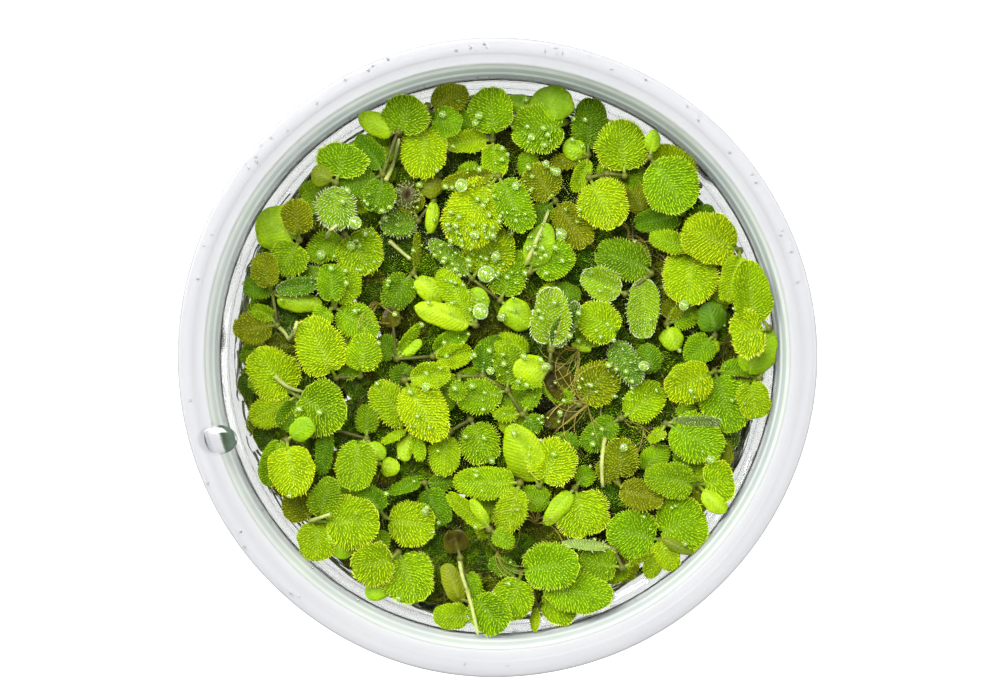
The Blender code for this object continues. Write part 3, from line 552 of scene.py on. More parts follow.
# Every fern: its stem joints, then its leaves as (base x, base y, tip x, tip y, width, tone, form)
# with, where it stands up the wall, how much higher the tip is than the base.
WIDTH, TONE, FORM, RISE = 4, 5, 6, 7
FERNS = (
    (((-10.7, 33.6), (-11.7, 28.9), (-14.6, 25.2)), (
        (-15.3, 26.5, -17.0, 32.0, 5.0, "olive", "folded"),
        (-14.9, 24.6, -21.6, 24.6, 5.0, "green", "open"),
        (-10.7, 33.2, -13.8, 30.0, 4.6, "olive", "smooth"),
        (-11.7, 28.6, -12.3, 22.8, 2.5, "bright", "smooth"),
    )),
    (((37.3, 31.6), (34.3, 26.4)), (
        (37.4, 32.4, 31.5, 40.8, 7.5, "lime", "folded"),
        (33.8, 26.2, 25.4, 24.5, 5.0, "dark", "folded"),
    )),
    (((16.9, 37.3),), (
        (16.2, 36.9, 10.0, 35.8, 3.3, "olive", "open"),
        (17.0, 36.3, 14.2, 30.5, 3.3, "lime", "folded"),
        (16.8, 38.6, 17.5, 47.8, 6.5, "dark", "open"),
        (16.4, 37.8, 12.2, 39.0, 4.2, "lime", "smooth"),
    )),
    (((10.8, 28.8),), (
        (9.8, 28.5, 6.5, 24.5, 4.0, "dark", "open"),
        (11.3, 28.0, 16.8, 20.5, 6.3, "olive", "open"),
        (10.4, 29.6, 6.0, 35.0, 7.0, "olive", "open"),
    )),
    (((-15.5, 15.4),), (
        (-14.9, 16.6, -14.7, 23.0, 1.6, "olive", "edge"),
        (-14.9, 14.4, -10.0, 10.2, 4.2, "bright", "smooth"),
        (-16.5, 15.0, -20.2, 8.6, 6.0, "dark", "open"),
    )),
    (((-18.6, -0.4), (-11.9, 0.0)), (
        (-19.2, -0.2, -21.5, 3.8, 4.5, "dark", "open"),
        (-11.6, 0.8, -5.5, 5.0, 4.0, "green", "folded"),
        (-19.0, 5.4, -20.0, 9.0, 3.5, "brown", "open"),
        (-18.4, 0.6, -14.0, 6.3, 2.0, "lime", "edge"),
        (-17.4, 0.0, -14.0, 3.0, 2.0, "bright", "smooth"),
        (-11.2, -0.5, -4.5, 0.8, 4.6, "bright", "folded"),
    )),
    (((15.2, -8.9),), (
        (14.5, -9.6, 8.5, -12.5, 4.0, "brown", "open"),
        (14.5, -8.0, 9.5, -2.0, 5.5, "brown", "open"),
        (14.3, -8.4, 8.3, -5.5, 3.2, "green", "open"),
        (15.8, -8.1, 21.5, -1.5, 8.0, "olive", "open"),
    )),
    (((23.0, -11.4),), (
        (21.9, -11.7, 16.0, -17.0, 5.5, "dark", "open"),
        (24.1, -11.0, 30.5, -5.5, 7.0, "lime", "open"),
    )),
    (((31.4, 6.1),), (
        (31.5, 7.1, 33.5, 11.0, 4.0, "olive", "folded"),
        (32.6, 6.3, 37.0, 8.8, 4.5, "green", "open"),
        (31.5, 5.2, 33.3, 1.2, 4.3, "bright", "smooth"),
    )),
    (((40.3, 4.0),), (
        (40.4, 4.9, 38.6, 10.0, 5.4, "dark", "smooth"),
        (39.4, 3.4, 35.0, -1.0, 5.5, "green", "open"),
        (40.5, 3.0, 40.3, 0.6, 1.8, "bright", "smooth"),
    )),
    (((-13.4, -23.4),), (
        (-12.6, -23.5, -8.0, -23.0, 3.3, "dark", "open"),
        (-14.2, -22.9, -20.0, -25.0, 2.5, "dark", "edge"),
        (-12.9, -24.6, -10.0, -31.3, 6.0, "dark", "open"),
    )),
    (((-20.8, -29.6),), (
        (-21.4, -28.5, -24.8, -24.0, 5.0, "dark", "open"),
        (-20.0, -30.4, -11.4, -31.2, 8.2, "lime", "open"),
    )),
    (((12.6, 43.3),), (
        (8.6, 45.0, 1.5, 47.5, 4.0, "lime", "smooth"),
        (11.2, 44.6, 9.4, 51.0, 8.2, "lime", "smooth"),
        (12.2, 42.3, 2.7, 41.5, 8.6, "green", "open"),
    )),
    (((-0.9, 40.2),), (
        (-0.7, 39.3, -0.2, 33.0, 5.0, "lime", "folded"),
        (-0.7, 41.2, -1.5, 49.4, 8.2, "green", "open"),
        (-3.0, 41.6, -8.5, 45.0, 4.5, "green", "open"),
        (-2.0, 40.0, -9.8, 39.3, 4.2, "lime", "folded"),
    )),
    (((-12.9, 46.4), (-12.5, 43.4)), (
        (-12.0, 46.8, -5.6, 50.0, 5.5, "olive", "open"),
        (-11.7, 43.9, -6.6, 42.2, 5.5, "green", "open"),
        (-12.8, 42.4, -14.2, 32.8, 8.5, "lime", "open"),
    )),
    (((-21.0, 33.4), (-18.2, 41.2)), (
        (-22.2, 32.6, -30.0, 30.5, 5.0, "dark", "open"),
        (-21.2, 34.6, -25.5, 40.5, 4.5, "dark", "folded"),
        (-20.9, 32.2, -22.5, 26.5, 6.0, "dark", "open"),
        (-19.2, 41.6, -25.5, 44.5, 4.5, "bright", "smooth"),
        (-17.9, 42.3, -17.0, 49.5, 8.5, "green", "open"),
    )),
    (((-28.2, 22.6),), (
        (-28.9, 21.8, -35.3, 18.4, 5.5, "green", "open"),
        (-27.5, 22.4, -22.8, 15.8, 8.8, "lime", "open"),
    )),
    (((-29.4, 31.8),), (
        (-30.2, 32.2, -33.7, 34.0, 4.2, "olive", "smooth"),
        (-29.6, 30.8, -29.0, 23.3, 7.0, "green", "open"),
        (-28.9, 32.8, -27.5, 38.8, 9.0, "green", "open"),
    )),
    (((-36.5, 21.6),), (
        (-36.4, 22.6, -36.5, 28.6, 6.0, "olive", "open"),
        (-36.9, 20.6, -40.0, 15.3, 7.0, "green", "open"),
        (-37.5, 21.9, -44.0, 26.0, 9.0, "lime", "smooth"),
    )),
    (((-4.6, 14.4), (0.6, 10.4)), (
        (-5.3, 15.4, -12.5, 21.5, 4.0, "green", "folded"),
        (1.3, 9.8, 6.0, 5.5, 5.5, "lime", "smooth"),
        (-4.0, 15.2, 1.0, 23.7, 9.0, "lime", "open"),
        (1.2, 11.3, 3.0, 20.0, 7.0, "green", "open"),
    )),
    (((6.0, 15.6),), (
        (6.2, 16.7, 9.5, 24.5, 5.5, "lime", "smooth"),
        (7.0, 15.9, 13.8, 19.8, 7.2, "green", "open"),
    )),
    (((-4.0, 5.8),), (
        (-5.1, 6.0, -15.0, 9.2, 4.6, "bright", "smooth"),
        (-4.7, 6.7, -10.5, 16.0, 5.0, "lime", "open"),
        (-3.9, 6.9, -3.6, 12.8, 4.6, "lime", "smooth"),
    )),
    (((0.2, 33.2),), (
        (-0.8, 33.6, -10.0, 31.5, 3.5, "olive", "folded"),
        (0.9, 32.3, 5.5, 23.0, 6.5, "green", "open"),
        (-1.0, 32.3, -7.4, 20.5, 10.5, "bright", "open"),
    )),
    (((17.0, 33.0), (20.3, 33.7), (23.5, 33.3)), (
        (23.5, 34.4, 22.5, 43.5, 9.5, "lime", "open"),
        (17.5, 32.0, 22.0, 23.8, 9.0, "lime", "open"),
    )),
    (((28.0, 36.5),), (
        (28.3, 37.5, 28.7, 41.6, 2.8, "bright", "smooth"),
        (28.6, 35.5, 35.0, 27.0, 10.0, "green", "open"),
    )),
    (((35.8, 20.2),), (
        (34.7, 20.4, 28.0, 22.0, 4.0, "lime", "open"),
        (35.9, 19.1, 35.0, 9.6, 10.0, "lime", "open"),
    )),
    (((44.9, 19.6),), (
        (44.6, 18.5, 42.0, 10.0, 5.0, "lime", "open"),
        (43.9, 20.0, 34.0, 23.5, 9.3, "bright", "open"),
    )),
    (((28.6, 15.4), (23.8, 11.6)), (
        (22.8, 12.0, 15.5, 15.0, 6.0, "lime", "folded"),
        (28.2, 16.4, 18.5, 19.5, 7.5, "dark", "open"),
        (27.2, 14.3, 26.8, 3.4, 5.8, "lime", "folded"),
    )),
    (((21.2, 3.4),), (
        (17.5, 1.4, 13.8, 2.2, 1.8, "bright", "smooth"),
        (21.7, 2.4, 26.0, -5.0, 5.0, "dark", "open"),
        (20.1, 3.6, 14.0, 6.0, 5.0, "green", "open"),
        (22.2, 4.4, 15.0, 8.5, 7.2, "lime", "open"),
    )),
    (((-41.6, 11.9), (-40.7, 5.8)), (
        (-42.0, 12.9, -43.2, 19.0, 5.0, "olive", "open"),
        (-41.3, 7.2, -45.2, 9.0, 3.0, "green", "folded"),
        (-40.6, 12.3, -32.5, 13.5, 3.4, "dark", "folded"),
        (-40.7, 10.9, -32.3, 9.5, 4.0, "lime", "smooth"),
        (-41.7, 5.6, -48.9, 5.0, 6.0, "olive", "open"),
    )),
    (((-30.2, 9.2),), (
        (-30.3, 10.2, -30.5, 17.0, 5.0, "green", "open"),
        (-29.6, 10.0, -26.5, 16.2, 6.0, "lime", "open"),
        (-31.0, 8.6, -33.4, 6.0, 4.0, "green", "open"),
        (-29.3, 8.6, -22.0, 4.0, 6.5, "green", "open"),
    )),
    (((-29.8, -3.9), (-25.4, -3.6)), (
        (-29.0, -3.3, -25.8, -1.2, 4.0, "green", "open"),
        (-25.2, -2.6, -23.8, 4.2, 6.5, "lime", "open"),
        (-30.3, -2.9, -35.0, 7.0, 8.5, "lime", "open"),
    )),
    (((-31.0, -13.2), (-24.2, -15.2), (-22.3, -19.6)), (
        (-31.5, -13.9, -32.5, -22.0, 3.5, "dark", "open"),
        (-24.1, -14.2, -24.0, -8.8, 4.3, "green", "open"),
        (-23.5, -16.0, -21.0, -19.0, 3.3, "lime", "smooth"),
        (-21.4, -20.1, -18.0, -20.8, 3.6, "bright", "smooth"),
        (-25.6, -15.4, -26.0, -24.4, 7.3, "green", "open"),
    )),
    (((-37.0, -7.4),), (
        (-37.0, -8.5, -39.5, -13.5, 5.0, "dark", "folded"),
        (-38.3, -6.0, -46.0, -4.6, 4.5, "green", "open"),
        (-38.1, -7.9, -45.5, -12.0, 6.0, "lime", "open"),
        (-38.3, -6.5, -44.9, 1.0, 8.5, "lime", "open"),
        (-36.2, -7.4, -28.0, -12.0, 10.2, "green", "open"),
    )),
    (((-34.0, -30.6),), (
        (-32.8, -29.4, -30.0, -22.0, 5.5, "green", "open"),
        (-34.8, -29.8, -39.0, -25.5, 6.0, "olive", "open"),
        (-34.3, -31.7, -34.3, -38.7, 7.0, "lime", "open"),
        (-33.3, -31.5, -27.0, -36.8, 4.5, "lime", "smooth"),
        (-31.4, -30.4, -21.5, -30.0, 9.6, "lime", "open"),
    )),
    (((-38.7, -15.4),), (
        (-40.0, -15.4, -42.2, -23.8, 5.0, "green", "folded"),
        (-37.9, -14.7, -33.7, -12.0, 4.2, "lime", "smooth"),
        (-38.3, -16.5, -36.5, -25.3, 8.5, "lime", "open"),
    )),
    (((-8.8, -13.8), (-4.9, -11.6)), (
        (-9.2, -14.8, -10.2, -22.0, 6.0, "lime", "open"),
        (-4.4, -12.5, -1.8, -19.6, 7.0, "green", "open"),
    )),
    (((-15.9, -13.2),), (
        (-15.0, -13.9, -14.0, -19.2, 2.6, "lime", "folded"),
        (-16.8, -13.7, -21.3, -15.8, 1.8, "bright", "edge"),
        (-16.6, -12.3, -22.5, -5.0, 6.5, "lime", "open"),
        (-16.3, -14.3, -17.3, -19.2, 3.3, "bright", "smooth"),
    )),
    (((-17.0, -4.3),), (
        (-15.9, -3.9, -8.5, -3.0, 5.0, "lime", "folded"),
        (-16.4, -5.3, -10.0, -15.3, 8.5, "bright", "open"),
    )),
    (((-6.9, -3.6), (-2.6, -3.6), (1.9, -6.2), (4.7, -10.6)), (
        (-2.6, -2.6, -2.5, 2.2, 4.0, "dark", "open"),
        (-7.0, -4.4, -7.5, -8.0, 3.0, "green", "open"),
        (5.4, -11.3, 8.0, -13.5, 4.0, "dark", "open"),
        (3.7, -10.8, -0.8, -10.5, 2.8, "lime", "open"),
        (5.2, -9.7, 8.0, -5.7, 2.5, "green", "open"),
        (2.0, -5.1, 2.3, 2.3, 5.5, "green", "open"),
        (0.9, -6.6, -7.4, -8.0, 6.5, "green", "open"),
    )),
    (((9.9, 1.2), (9.6, -2.0)), (
        (10.6, 2.0, 14.6, 10.0, 4.0, "dark", "folded"),
        (9.6, 2.3, 10.1, 12.8, 7.0, "lime", "folded"),
        (8.4, -4.8, 2.8, -5.6, 1.6, "lime", "edge"),
        (9.0, -2.3, 2.9, -2.4, 5.2, "bright", "smooth"),
    )),
    (((40.3, -2.7),), (
        (41.4, -2.7, 49.0, -2.5, 4.8, "green", "open"),
        (40.7, -3.8, 44.0, -13.8, 9.0, "green", "open"),
        (39.2, -3.1, 31.0, -6.5, 7.5, "lime", "open"),
    )),
    (((48.4, -4.0),), (
        (48.6, -5.1, 49.8, -11.7, 6.0, "lime", "open"),
        (48.9, -2.9, 52.9, 5.3, 6.5, "lime", "smooth", 6.0),
    )),
    (((49.6, 5.2),), (
        (48.5, 4.9, 42.8, 3.5, 8.5, "lime", "open"),
        (48.2, 6.3, 46.6, 17.8, 7.2, "lime", "folded"),
    )),
    (((31.3, -12.4),), (
        (31.0, -13.6, 28.0, -15.6, 2.2, "lime", "edge"),
        (32.3, -12.0, 41.0, -12.0, 2.5, "pale", "edge"),
        (32.3, -12.9, 41.5, -17.5, 8.5, "green", "open"),
    )),
    (((14.4, -24.3),), (
        (15.0, -23.4, 17.5, -20.8, 4.0, "green", "open"),
        (13.6, -25.1, 8.8, -31.0, 3.4, "lime", "smooth"),
        (14.7, -25.3, 17.0, -33.2, 9.8, "lime", "open"),
    )),
    (((7.8, -24.0),), (
        (8.5, -23.1, 12.0, -15.4, 9.0, "lime", "open"),
        (7.3, -22.9, 2.4, -12.4, 7.2, "bright", "smooth"),
    )),
    (((4.2, -23.2),), (
        (3.1, -23.2, -8.0, -23.0, 6.0, "lime", "open"),
        (3.9, -24.3, 1.2, -32.3, 5.8, "lime", "open"),
    )),
    (((-1.4, -31.6),), (
        (-0.6, -32.2, 3.0, -34.5, 3.4, "green", "open"),
        (-1.7, -30.6, -4.8, -26.0, 2.2, "bright", "smooth"),
        (-2.2, -31.0, -9.0, -25.0, 3.4, "lime", "folded"),
    )),
    (((30.3, -34.0),), (
        (31.4, -34.5, 37.0, -37.2, 2.4, "olive", "smooth"),
        (30.0, -35.1, 28.0, -41.0, 3.6, "lime", "open"),
        (30.8, -35.0, 33.5, -40.2, 4.6, "lime", "open"),
        (29.2, -33.7, 20.3, -31.5, 9.3, "green", "open"),
        (31.3, -33.6, 39.6, -30.4, 10.0, "green", "open"),
    )),
    (((22.3, -23.3),), (
        (21.3, -23.2, 18.8, -19.5, 3.4, "olive", "open"),
        (22.4, -22.2, 23.0, -15.0, 6.5, "olive", "open"),
        (22.6, -24.4, 30.6, -26.6, 5.5, "olive", "open"),
    )),
    (((37.2, -23.8),), (
        (38.0, -24.6, 42.0, -28.5, 4.0, "bright", "smooth"),
        (36.1, -23.6, 27.0, -21.5, 6.5, "green", "open"),
        (38.2, -23.5, 43.4, -22.3, 8.0, "lime", "open"),
    )),
    (((23.0, -38.7), (21.4, -35.4)), (
        (20.5, -34.9, 12.0, -34.0, 1.8, "pale", "edge"),
        (24.0, -38.3, 29.0, -36.0, 1.4, "lime", "edge"),
        (21.9, -38.5, 15.2, -37.5, 6.5, "green", "open"),
    )),
    (((6.6, -42.6), (7.5, -46.8)), (
        (7.4, -47.8, 7.0, -52.0, 1.8, "bright", "edge"),
        (8.6, -42.7, 21.2, -43.6, 7.4, "green", "open"),
        (8.6, -47.0, 15.2, -47.4, 7.0, "lime", "open"),
    )),
    (((4.6, -40.0),), (
        (3.6, -39.7, -1.5, -38.0, 3.5, "dark", "open"),
        (4.2, -41.0, 1.3, -48.0, 7.5, "green", "open"),
        (5.0, -39.2, 14.9, -37.2, 8.4, "green", "open"),
    )),
    (((-6.8, -37.2), (-5.7, -42.0), (-4.8, -45.4), (-4.5, -48.6)), (
        (-7.0, -36.2, -8.2, -32.0, 5.0, "brown", "open"),
        (-5.4, -40.0, -3.4, -44.5, 3.3, "green", "open"),
        (-6.6, -45.6, -9.6, -38.3, 3.8, "olive", "smooth"),
        (-5.5, -49.1, -12.0, -48.8, 5.0, "lime", "open"),
        (-4.0, -46.1, 1.2, -51.8, 7.6, "green", "open"),
    )),
    (((-18.3, -36.2),), (
        (-19.6, -41.0, -24.0, -44.6, 4.2, "lime", "smooth"),
        (-19.3, -37.4, -26.6, -38.8, 7.8, "lime", "open"),
        (-17.8, -36.8, -14.8, -45.4, 9.6, "green", "open"),
    )),
)

# %% [markdown]
# ## Laying the ferns on the water
# A square grid over the tub keeps how high everything afloat reaches. Each fern tries many ways to hold
# its leaves and takes the one that lies lowest and bends least, and then the grid grows by what it
# covers. That settles a whole crowded colony in a few seconds, with no physics simulation.

# %% The bed
LEAF_THICKNESS = 0.8
LEAF_GAP = 0.3
STEM_RADIUS = 0.45
BED_CELL = 0.5
BED_SPAN = 56.0
LIFTS = (0.0, 0.7, 1.4, 2.1, 2.8)
RISES = np.arange(-3.0, 5.1, 0.5)
LEANS = (0.0, 0.18, -0.18, 0.36, -0.36)
STEM_WEIGHT = 2.2
LIFT_WEIGHT = 0.6
HEIGHT_WEIGHT = 1.0
RISE_WEIGHT = 0.6
LEAN_WEIGHT = 3.0
STEM_REACH = 8.0
STEM_STEP = 0.2


class Bed:
    """Top heights over the cup's inside on a square grid, in millimetres."""

    def __init__(self):
        self.count = int(round(2 * BED_SPAN / BED_CELL)) + 1
        axis = np.linspace(-BED_SPAN, BED_SPAN, self.count)
        x, y = np.meshgrid(axis, axis, indexing="ij")
        to_wall = np.clip(inner_radius(WATER_LEVEL) - np.hypot(x, y), 0.0, None)
        self.top = WATER_LEVEL + MENISCUS_RISE * np.exp(-MENISCUS_FALL * to_wall / MENISCUS_WIDTH)
        self.spread()

    def cells(self, points):
        index = np.rint((points[..., :2] + BED_SPAN) / BED_CELL).astype(int)
        index = np.clip(index, 0, self.count - 1)
        return index[..., 0], index[..., 1]

    def spread(self):
        """Each cell takes the highest top among itself and its neighbours."""
        padded = np.pad(self.top, 1, mode="edge")
        rolled = [
            padded[i:i + self.count, j:j + self.count]
            for i in range(3)
            for j in range(3)
        ]
        self.grown = np.max(rolled, axis=0)

    def under(self, points):
        return self.grown[self.cells(points)]

    def cover(self, points):
        np.maximum.at(self.top, self.cells(points), points[..., 2])
        self.spread()


# %% A leaf while it is laid
def outline(u):
    """Half width of a leaf, as a share of its full half width, at u from 0 at the base to 1 at the tip."""
    inner = np.clip(u, 0.0, 1.0)
    return 0.30 + 0.70 * np.sin(np.pi * (0.13 + 0.77 * inner)) ** 0.8


def leaf_height(leaf, u, v, rise, lean):
    """Height of a leaf's underside above its stem at (u, v), v from -1 to 1 across it."""
    form = FORMS[leaf[FORM]]
    length = math.hypot(leaf[2] - leaf[0], leaf[3] - leaf[1])
    half = outline(u) * leaf[WIDTH] / 2
    return (
        rise * u
        + form["crown"] * length * 4 * u * (1 - u)
        + form["edges"] * half * np.abs(v) ** 1.4
        + lean * half * v
    )


def leaf_points(leaf, u, v, stem, rise, lean):
    """Points of a leaf's underside, in millimetres, kept inside the cup's wall."""
    base = np.array(leaf[0:2])
    along = np.array(leaf[2:4]) - base
    length = np.hypot(*along)
    across = np.array((-along[1], along[0])) / length
    half = outline(u) * leaf[WIDTH] / 2
    bulge = 1 - 0.10 * np.clip(u - 0.6, 0.0, 1.0) * np.abs(v) ** 2 / 0.4
    flat = base + along * (u * bulge)[..., None] + across * (half * v)[..., None]
    wall = inner_radius(WATER_LEVEL + 0.8 * rise_at_least(leaf)) - LEAF_GAP - 0.15
    radius = np.hypot(flat[..., 0], flat[..., 1])
    flat = flat * np.minimum(1.0, wall / np.maximum(radius, 0.1))[..., None]
    height = stem + leaf_height(leaf, u, v, rise, lean)
    return np.concatenate([flat, height[..., None]], axis=-1)


def rise_at_least(leaf):
    return leaf[RISE] if len(leaf) > RISE else FORMS[leaf[FORM]]["rise"]


def leaf_samples(leaf, stem, rise, lean):
    u, v = np.meshgrid(np.linspace(0, 1, 25), np.linspace(-1, 1, 21), indexing="ij")
    return leaf_points(leaf, u, v, stem, rise, lean)


def nearest(joints, point):
    return min(joints, key=lambda joint: math.hypot(joint[0] - point[0], joint[1] - point[1]))


def between(first, last, count):
    share = np.linspace(0, 1, count)[:, None]
    return np.array(first) * (1 - share) + np.array(last) * share


def stem_samples(fern, height, poses):
    """Points along a fern's stem and its leaves' stalks; each stalk rises by its leaf's lift."""
    joints, leaves = fern
    runs = [
        between((*joints[i], height), (*joints[i + 1], height), 16)
        for i in range(len(joints) - 1)
    ]
    for number, leaf in enumerate(leaves):
        lift = poses[number][2] if poses else 0.0
        first = (*nearest(joints, leaf[:2]), height)
        runs.append(between(first, (leaf[0], leaf[1], height + lift), 8))
    line = np.concatenate(runs)
    sides = [line + (dx, dy, 0.0) for dx in (-0.5, 0.5) for dy in (-0.5, 0.5)]
    return np.concatenate(sides)


# %% Lay the ferns
def leaf_poses(leaf, bed):
    """Every way to hold a leaf: the stem height it needs, how much effort it is, and its pose."""
    found = []
    usual = FORMS[leaf[FORM]]["lean"]
    for lean in LEANS:
        for rise in RISES + rise_at_least(leaf):
            points = leaf_samples(leaf, 0.0, rise, lean + usual)
            need = float((bed.under(points) - points[..., 2]).max()) + LEAF_GAP
            top = float(points[..., 2].max())
            bend = RISE_WEIGHT * abs(rise - rise_at_least(leaf)) + LEAN_WEIGHT * abs(lean)
            bend += HEIGHT_WEIGHT * top
            for lift in LIFTS:
                effort = bend + (LIFT_WEIGHT + HEIGHT_WEIGHT) * lift
                found.append((need - lift, effort, (float(rise), float(lean + usual), lift)))
    return sorted(found, key=lambda option: option[1])


def settle(ferns):
    """Lays the ferns on the water in turn: each one's stem height and its leaves' poses."""
    bed = Bed()
    settled = []
    for fern in ferns:
        leaves = fern[1]
        lowest = float(bed.under(stem_samples(fern, 0.0, None)).max()) + LEAF_GAP
        options = [leaf_poses(leaf, bed) for leaf in leaves]
        best = None
        for stem in np.arange(lowest, lowest + STEM_REACH, STEM_STEP):
            chosen = [next((one for one in held if one[0] <= stem), None) for held in options]
            if None in chosen:
                continue
            cost = STEM_WEIGHT * (stem - lowest) + sum(one[1] for one in chosen) / len(chosen)
            if best is None or cost < best[0]:
                best = (cost, float(stem), [one[2] for one in chosen])
        _, stem, poses = best
        for leaf, (rise, lean, lift) in zip(leaves, poses):
            top = leaf_samples(leaf, stem + lift, rise, lean)
            top[..., 2] += LEAF_THICKNESS
            bed.cover(top)
        bed.cover(stem_samples(fern, stem + 2 * STEM_RADIUS, poses))
        settled.append((stem, poses))
    return settled


settled = settle(FERNS)
leaf_count = sum(len(leaves) for _, leaves in FERNS)
stem_heights = [stem for stem, _ in settled]
print(f"{len(FERNS)} ferns with {leaf_count} leaves")
print(f"Their stems lie {min(stem_heights):.1f} to {max(stem_heights):.1f} mm high")

# %% [markdown]
# ## The leaf blade
# A blade is a thin closed body: a grid of points for its upper side, the same grid a little lower for
# its underside, and a strip round the edge. Rows are crowded towards the base and the tip, where the
# outline turns, so an oval comes out round with few points. The base is notched, the edge waves a
# little, and the upper side has a groove over the midrib. Tints vary from leaf to leaf and over a leaf.

# %% Blade
TONES = {
    "bright": (0.35, 0.53, 0.002),
    "lime": (0.29, 0.48, 0.002),
    "green": (0.20, 0.38, 0.002),
    "dark": (0.11, 0.25, 0.003),
    "olive": (0.20, 0.25, 0.003),
    "brown": (0.042, 0.029, 0.002),
    "pale": (0.34, 0.46, 0.10),
}
BLADE_LOW = 0.12
BLADE_THICKNESS = 0.28
# How dark the blade's upper side is under its hairs: painted shade.
HAIR_SHADE = 0.74
SUNKEN_ROWS = 9
LEAF, HAIR, STEM, ROOT, SMOOTH_LEAF, WET_LEAF = range(6)


def leaf_frame(leaf):
    """Base, forward direction, sideways direction and length of a leaf in plan."""
    base = np.array(leaf[0:2])
    along = np.array(leaf[2:4]) - base
    length = float(np.hypot(*along))
    forward = along / length
    return base, forward, np.array((-forward[1], forward[0])), length


def blade_half(leaf, u):
    """Half width of a blade in mm at a share u of its length: an oval, blunter or more pointed by leaf."""
    turn = np.arccos(np.clip(1 - 2 * u, -1.0, 1.0))
    kind = 7.3 * leaf[0] + 3.1 * leaf[1]
    blunt, heavy = 0.84 + 0.16 * math.sin(1.7 * kind), 0.09 + 0.11 * math.sin(kind)
    return 0.5 * leaf[WIDTH] * np.sin(turn) ** blunt * (1 + heavy * np.cos(turn))


def blade_plan(leaf, u, v, wave):
    """Places on a leaf seen from above, in mm, at shares u along it and v from -1 to 1 across it."""
    base, forward, across, length = leaf_frame(leaf)
    near_base = 0.08 * np.exp(-((u / 0.10) ** 2))
    near_tip = 0.03 * math.sin(3 * wave) * np.exp(-(((1 - u) / 0.08) ** 2))
    notch = length * (1 - np.abs(v)) * (near_base + near_tip)
    edge = 1 + 0.045 * np.sin(7 * u + wave + v) + 0.03 * np.sin(17 * u + 2.3 * wave)
    ahead = forward * (u * length + notch)[..., None]
    aside = across * (blade_half(leaf, u) * v * edge)[..., None]
    return base + ahead + aside


edge_grid = np.meshgrid(np.linspace(0.02, 0.98, 13), (-1.0, 0.0, 1.0))
edge_u, edge_v = (grid.ravel() for grid in edge_grid)


def wall_push(leaf, wave):
    """How far a leaf moves inwards, in mm, to stay clear of the tub's wall."""
    edge = blade_plan(leaf, edge_u, edge_v, wave)
    away = np.hypot(*edge.T)
    limit = wall_radius(WATER_LEVEL + 0.8 * rise_at_least(leaf)) - LEAF_GAP - 0.05
    return -edge[away.argmax()] * max(0.0, 1 - limit / away.max())


def blade_points(leaf, u, v, pose, stem, wave):
    """Points of the blade's underside, in mm, at shares u along it and v from -1 to 1 across it."""
    rise, lean, lift = pose
    form = FORMS[leaf[FORM]]
    length = leaf_frame(leaf)[3]
    half = blade_half(leaf, u)
    flat = blade_plan(leaf, u, v, wave) + wall_push(leaf, wave)
    height = (
        stem + lift + rise * u + form["crown"] * length * 4 * u * (1 - u)
        + form["edges"] * half * np.abs(v) ** 1.4 + lean * half * v
        + 0.16 * np.sin(6 * u + 2 * v + wave) * np.abs(v)
        - 0.10 * np.exp(-((v / 0.10) ** 2)) * np.sin(math.pi * np.clip(u, 0, 1))
    )
    return np.concatenate([flat, height[..., None]], -1)


def row_pitch(leaf):
    """How far apart the rows of hairs are: a little more on a large leaf."""
    return 0.42 + 0.022 * min(leaf[WIDTH], 9.0)


def add_blade(heap, leaf, pose, stem, wave, tone, rows=17, columns=11):
    """Adds a closed blade. Brown ones are wet where they lie on the water, and dull where they sank."""
    turn = np.linspace(0.03, math.pi - 0.03, rows)
    u, v = np.meshgrid((1 - np.cos(turn)) / 2, np.linspace(-1, 1, columns), indexing="ij")
    low = blade_points(leaf, u, v, pose, stem, wave) + (0, 0, BLADE_LOW)
    high = low.copy()
    high[..., 2] += BLADE_THICKNESS * (1 - 0.6 * np.abs(v) ** 4)
    count = rows * columns
    faces = grid_faces(rows, columns)
    index = np.arange(count).reshape(rows, columns)
    rim = np.concatenate([index[0, :-1], index[:-1, -1], index[-1, :0:-1], index[:0:-1, 0]])
    after = np.roll(rim, -1)
    strip = np.stack([rim, after, after + count, rim + count], -1)
    length = leaf_frame(leaf)[3]
    grain = np.stack([(u + 0.7) * length, v * blade_half(leaf, u)], -1).reshape(-1, 2) / row_pitch(leaf)
    midrib = np.exp(-((v / 0.07) ** 2)) * (1 - u)
    smooth = leaf[FORM] == "smooth" or leaf[TONE] == "brown"
    # The upper side is tinted darker than the leaf's tone, most under the hairs: painted shade.
    depth = 0.84 if smooth else HAIR_SHADE
    upper = depth * tone * (1 + 0.12 * np.sin(5 * u + wave) * np.sin(3 * v))[..., None]
    # Towards the edge the tint is painted lighter, a painted glow of light through the thin edge.
    upper = upper + midrib[..., None] * (0.10, 0.11, 0.03) + (np.abs(v) ** 6)[..., None] * (0.06, 0.07, 0.0)
    upper = upper.reshape(-1, 3)
    under = np.broadcast_to(tone * 0.75 + (0.14, 0.12, 0.02), (count, 3))
    points = np.concatenate([low.reshape(-1, 3), high.reshape(-1, 3)])
    sides = [faces, strip[:, ::-1], (faces + count)[:, ::-1]]
    is_wet = leaf[TONE] == "brown" and rows > SUNKEN_ROWS
    slot = WET_LEAF if is_wet else SMOOTH_LEAF if smooth else LEAF
    heap.add(points, sides, np.concatenate([under, upper]), slot, np.tile(grain, (2, 1)))


# %% [markdown]
# ## The hairs
# On the real leaf the hairs stand in rows along the veins, lean outwards and end in pale tips, and they
# reach past the edge like a comb. Each hair is a thin bent spike with three sides. Its foot is placed
# on the blade's own formula, so it always stands on the surface, however the leaf is curled.

# %% Hairs
HAIR_PITCH = 0.60
HAIR_LENGTH = 0.70
HAIR_RADIUS = 0.12
HAIR_JITTER = 0.11
HAIR_SCATTER = 0.24
COMB_PITCH = 0.52
COMB_SCATTER = 0.15
# The near-white tip of hairs that catch the side light: a painted highlight
HIGHLIGHT_TINT = (0.70, 0.76, 0.48)
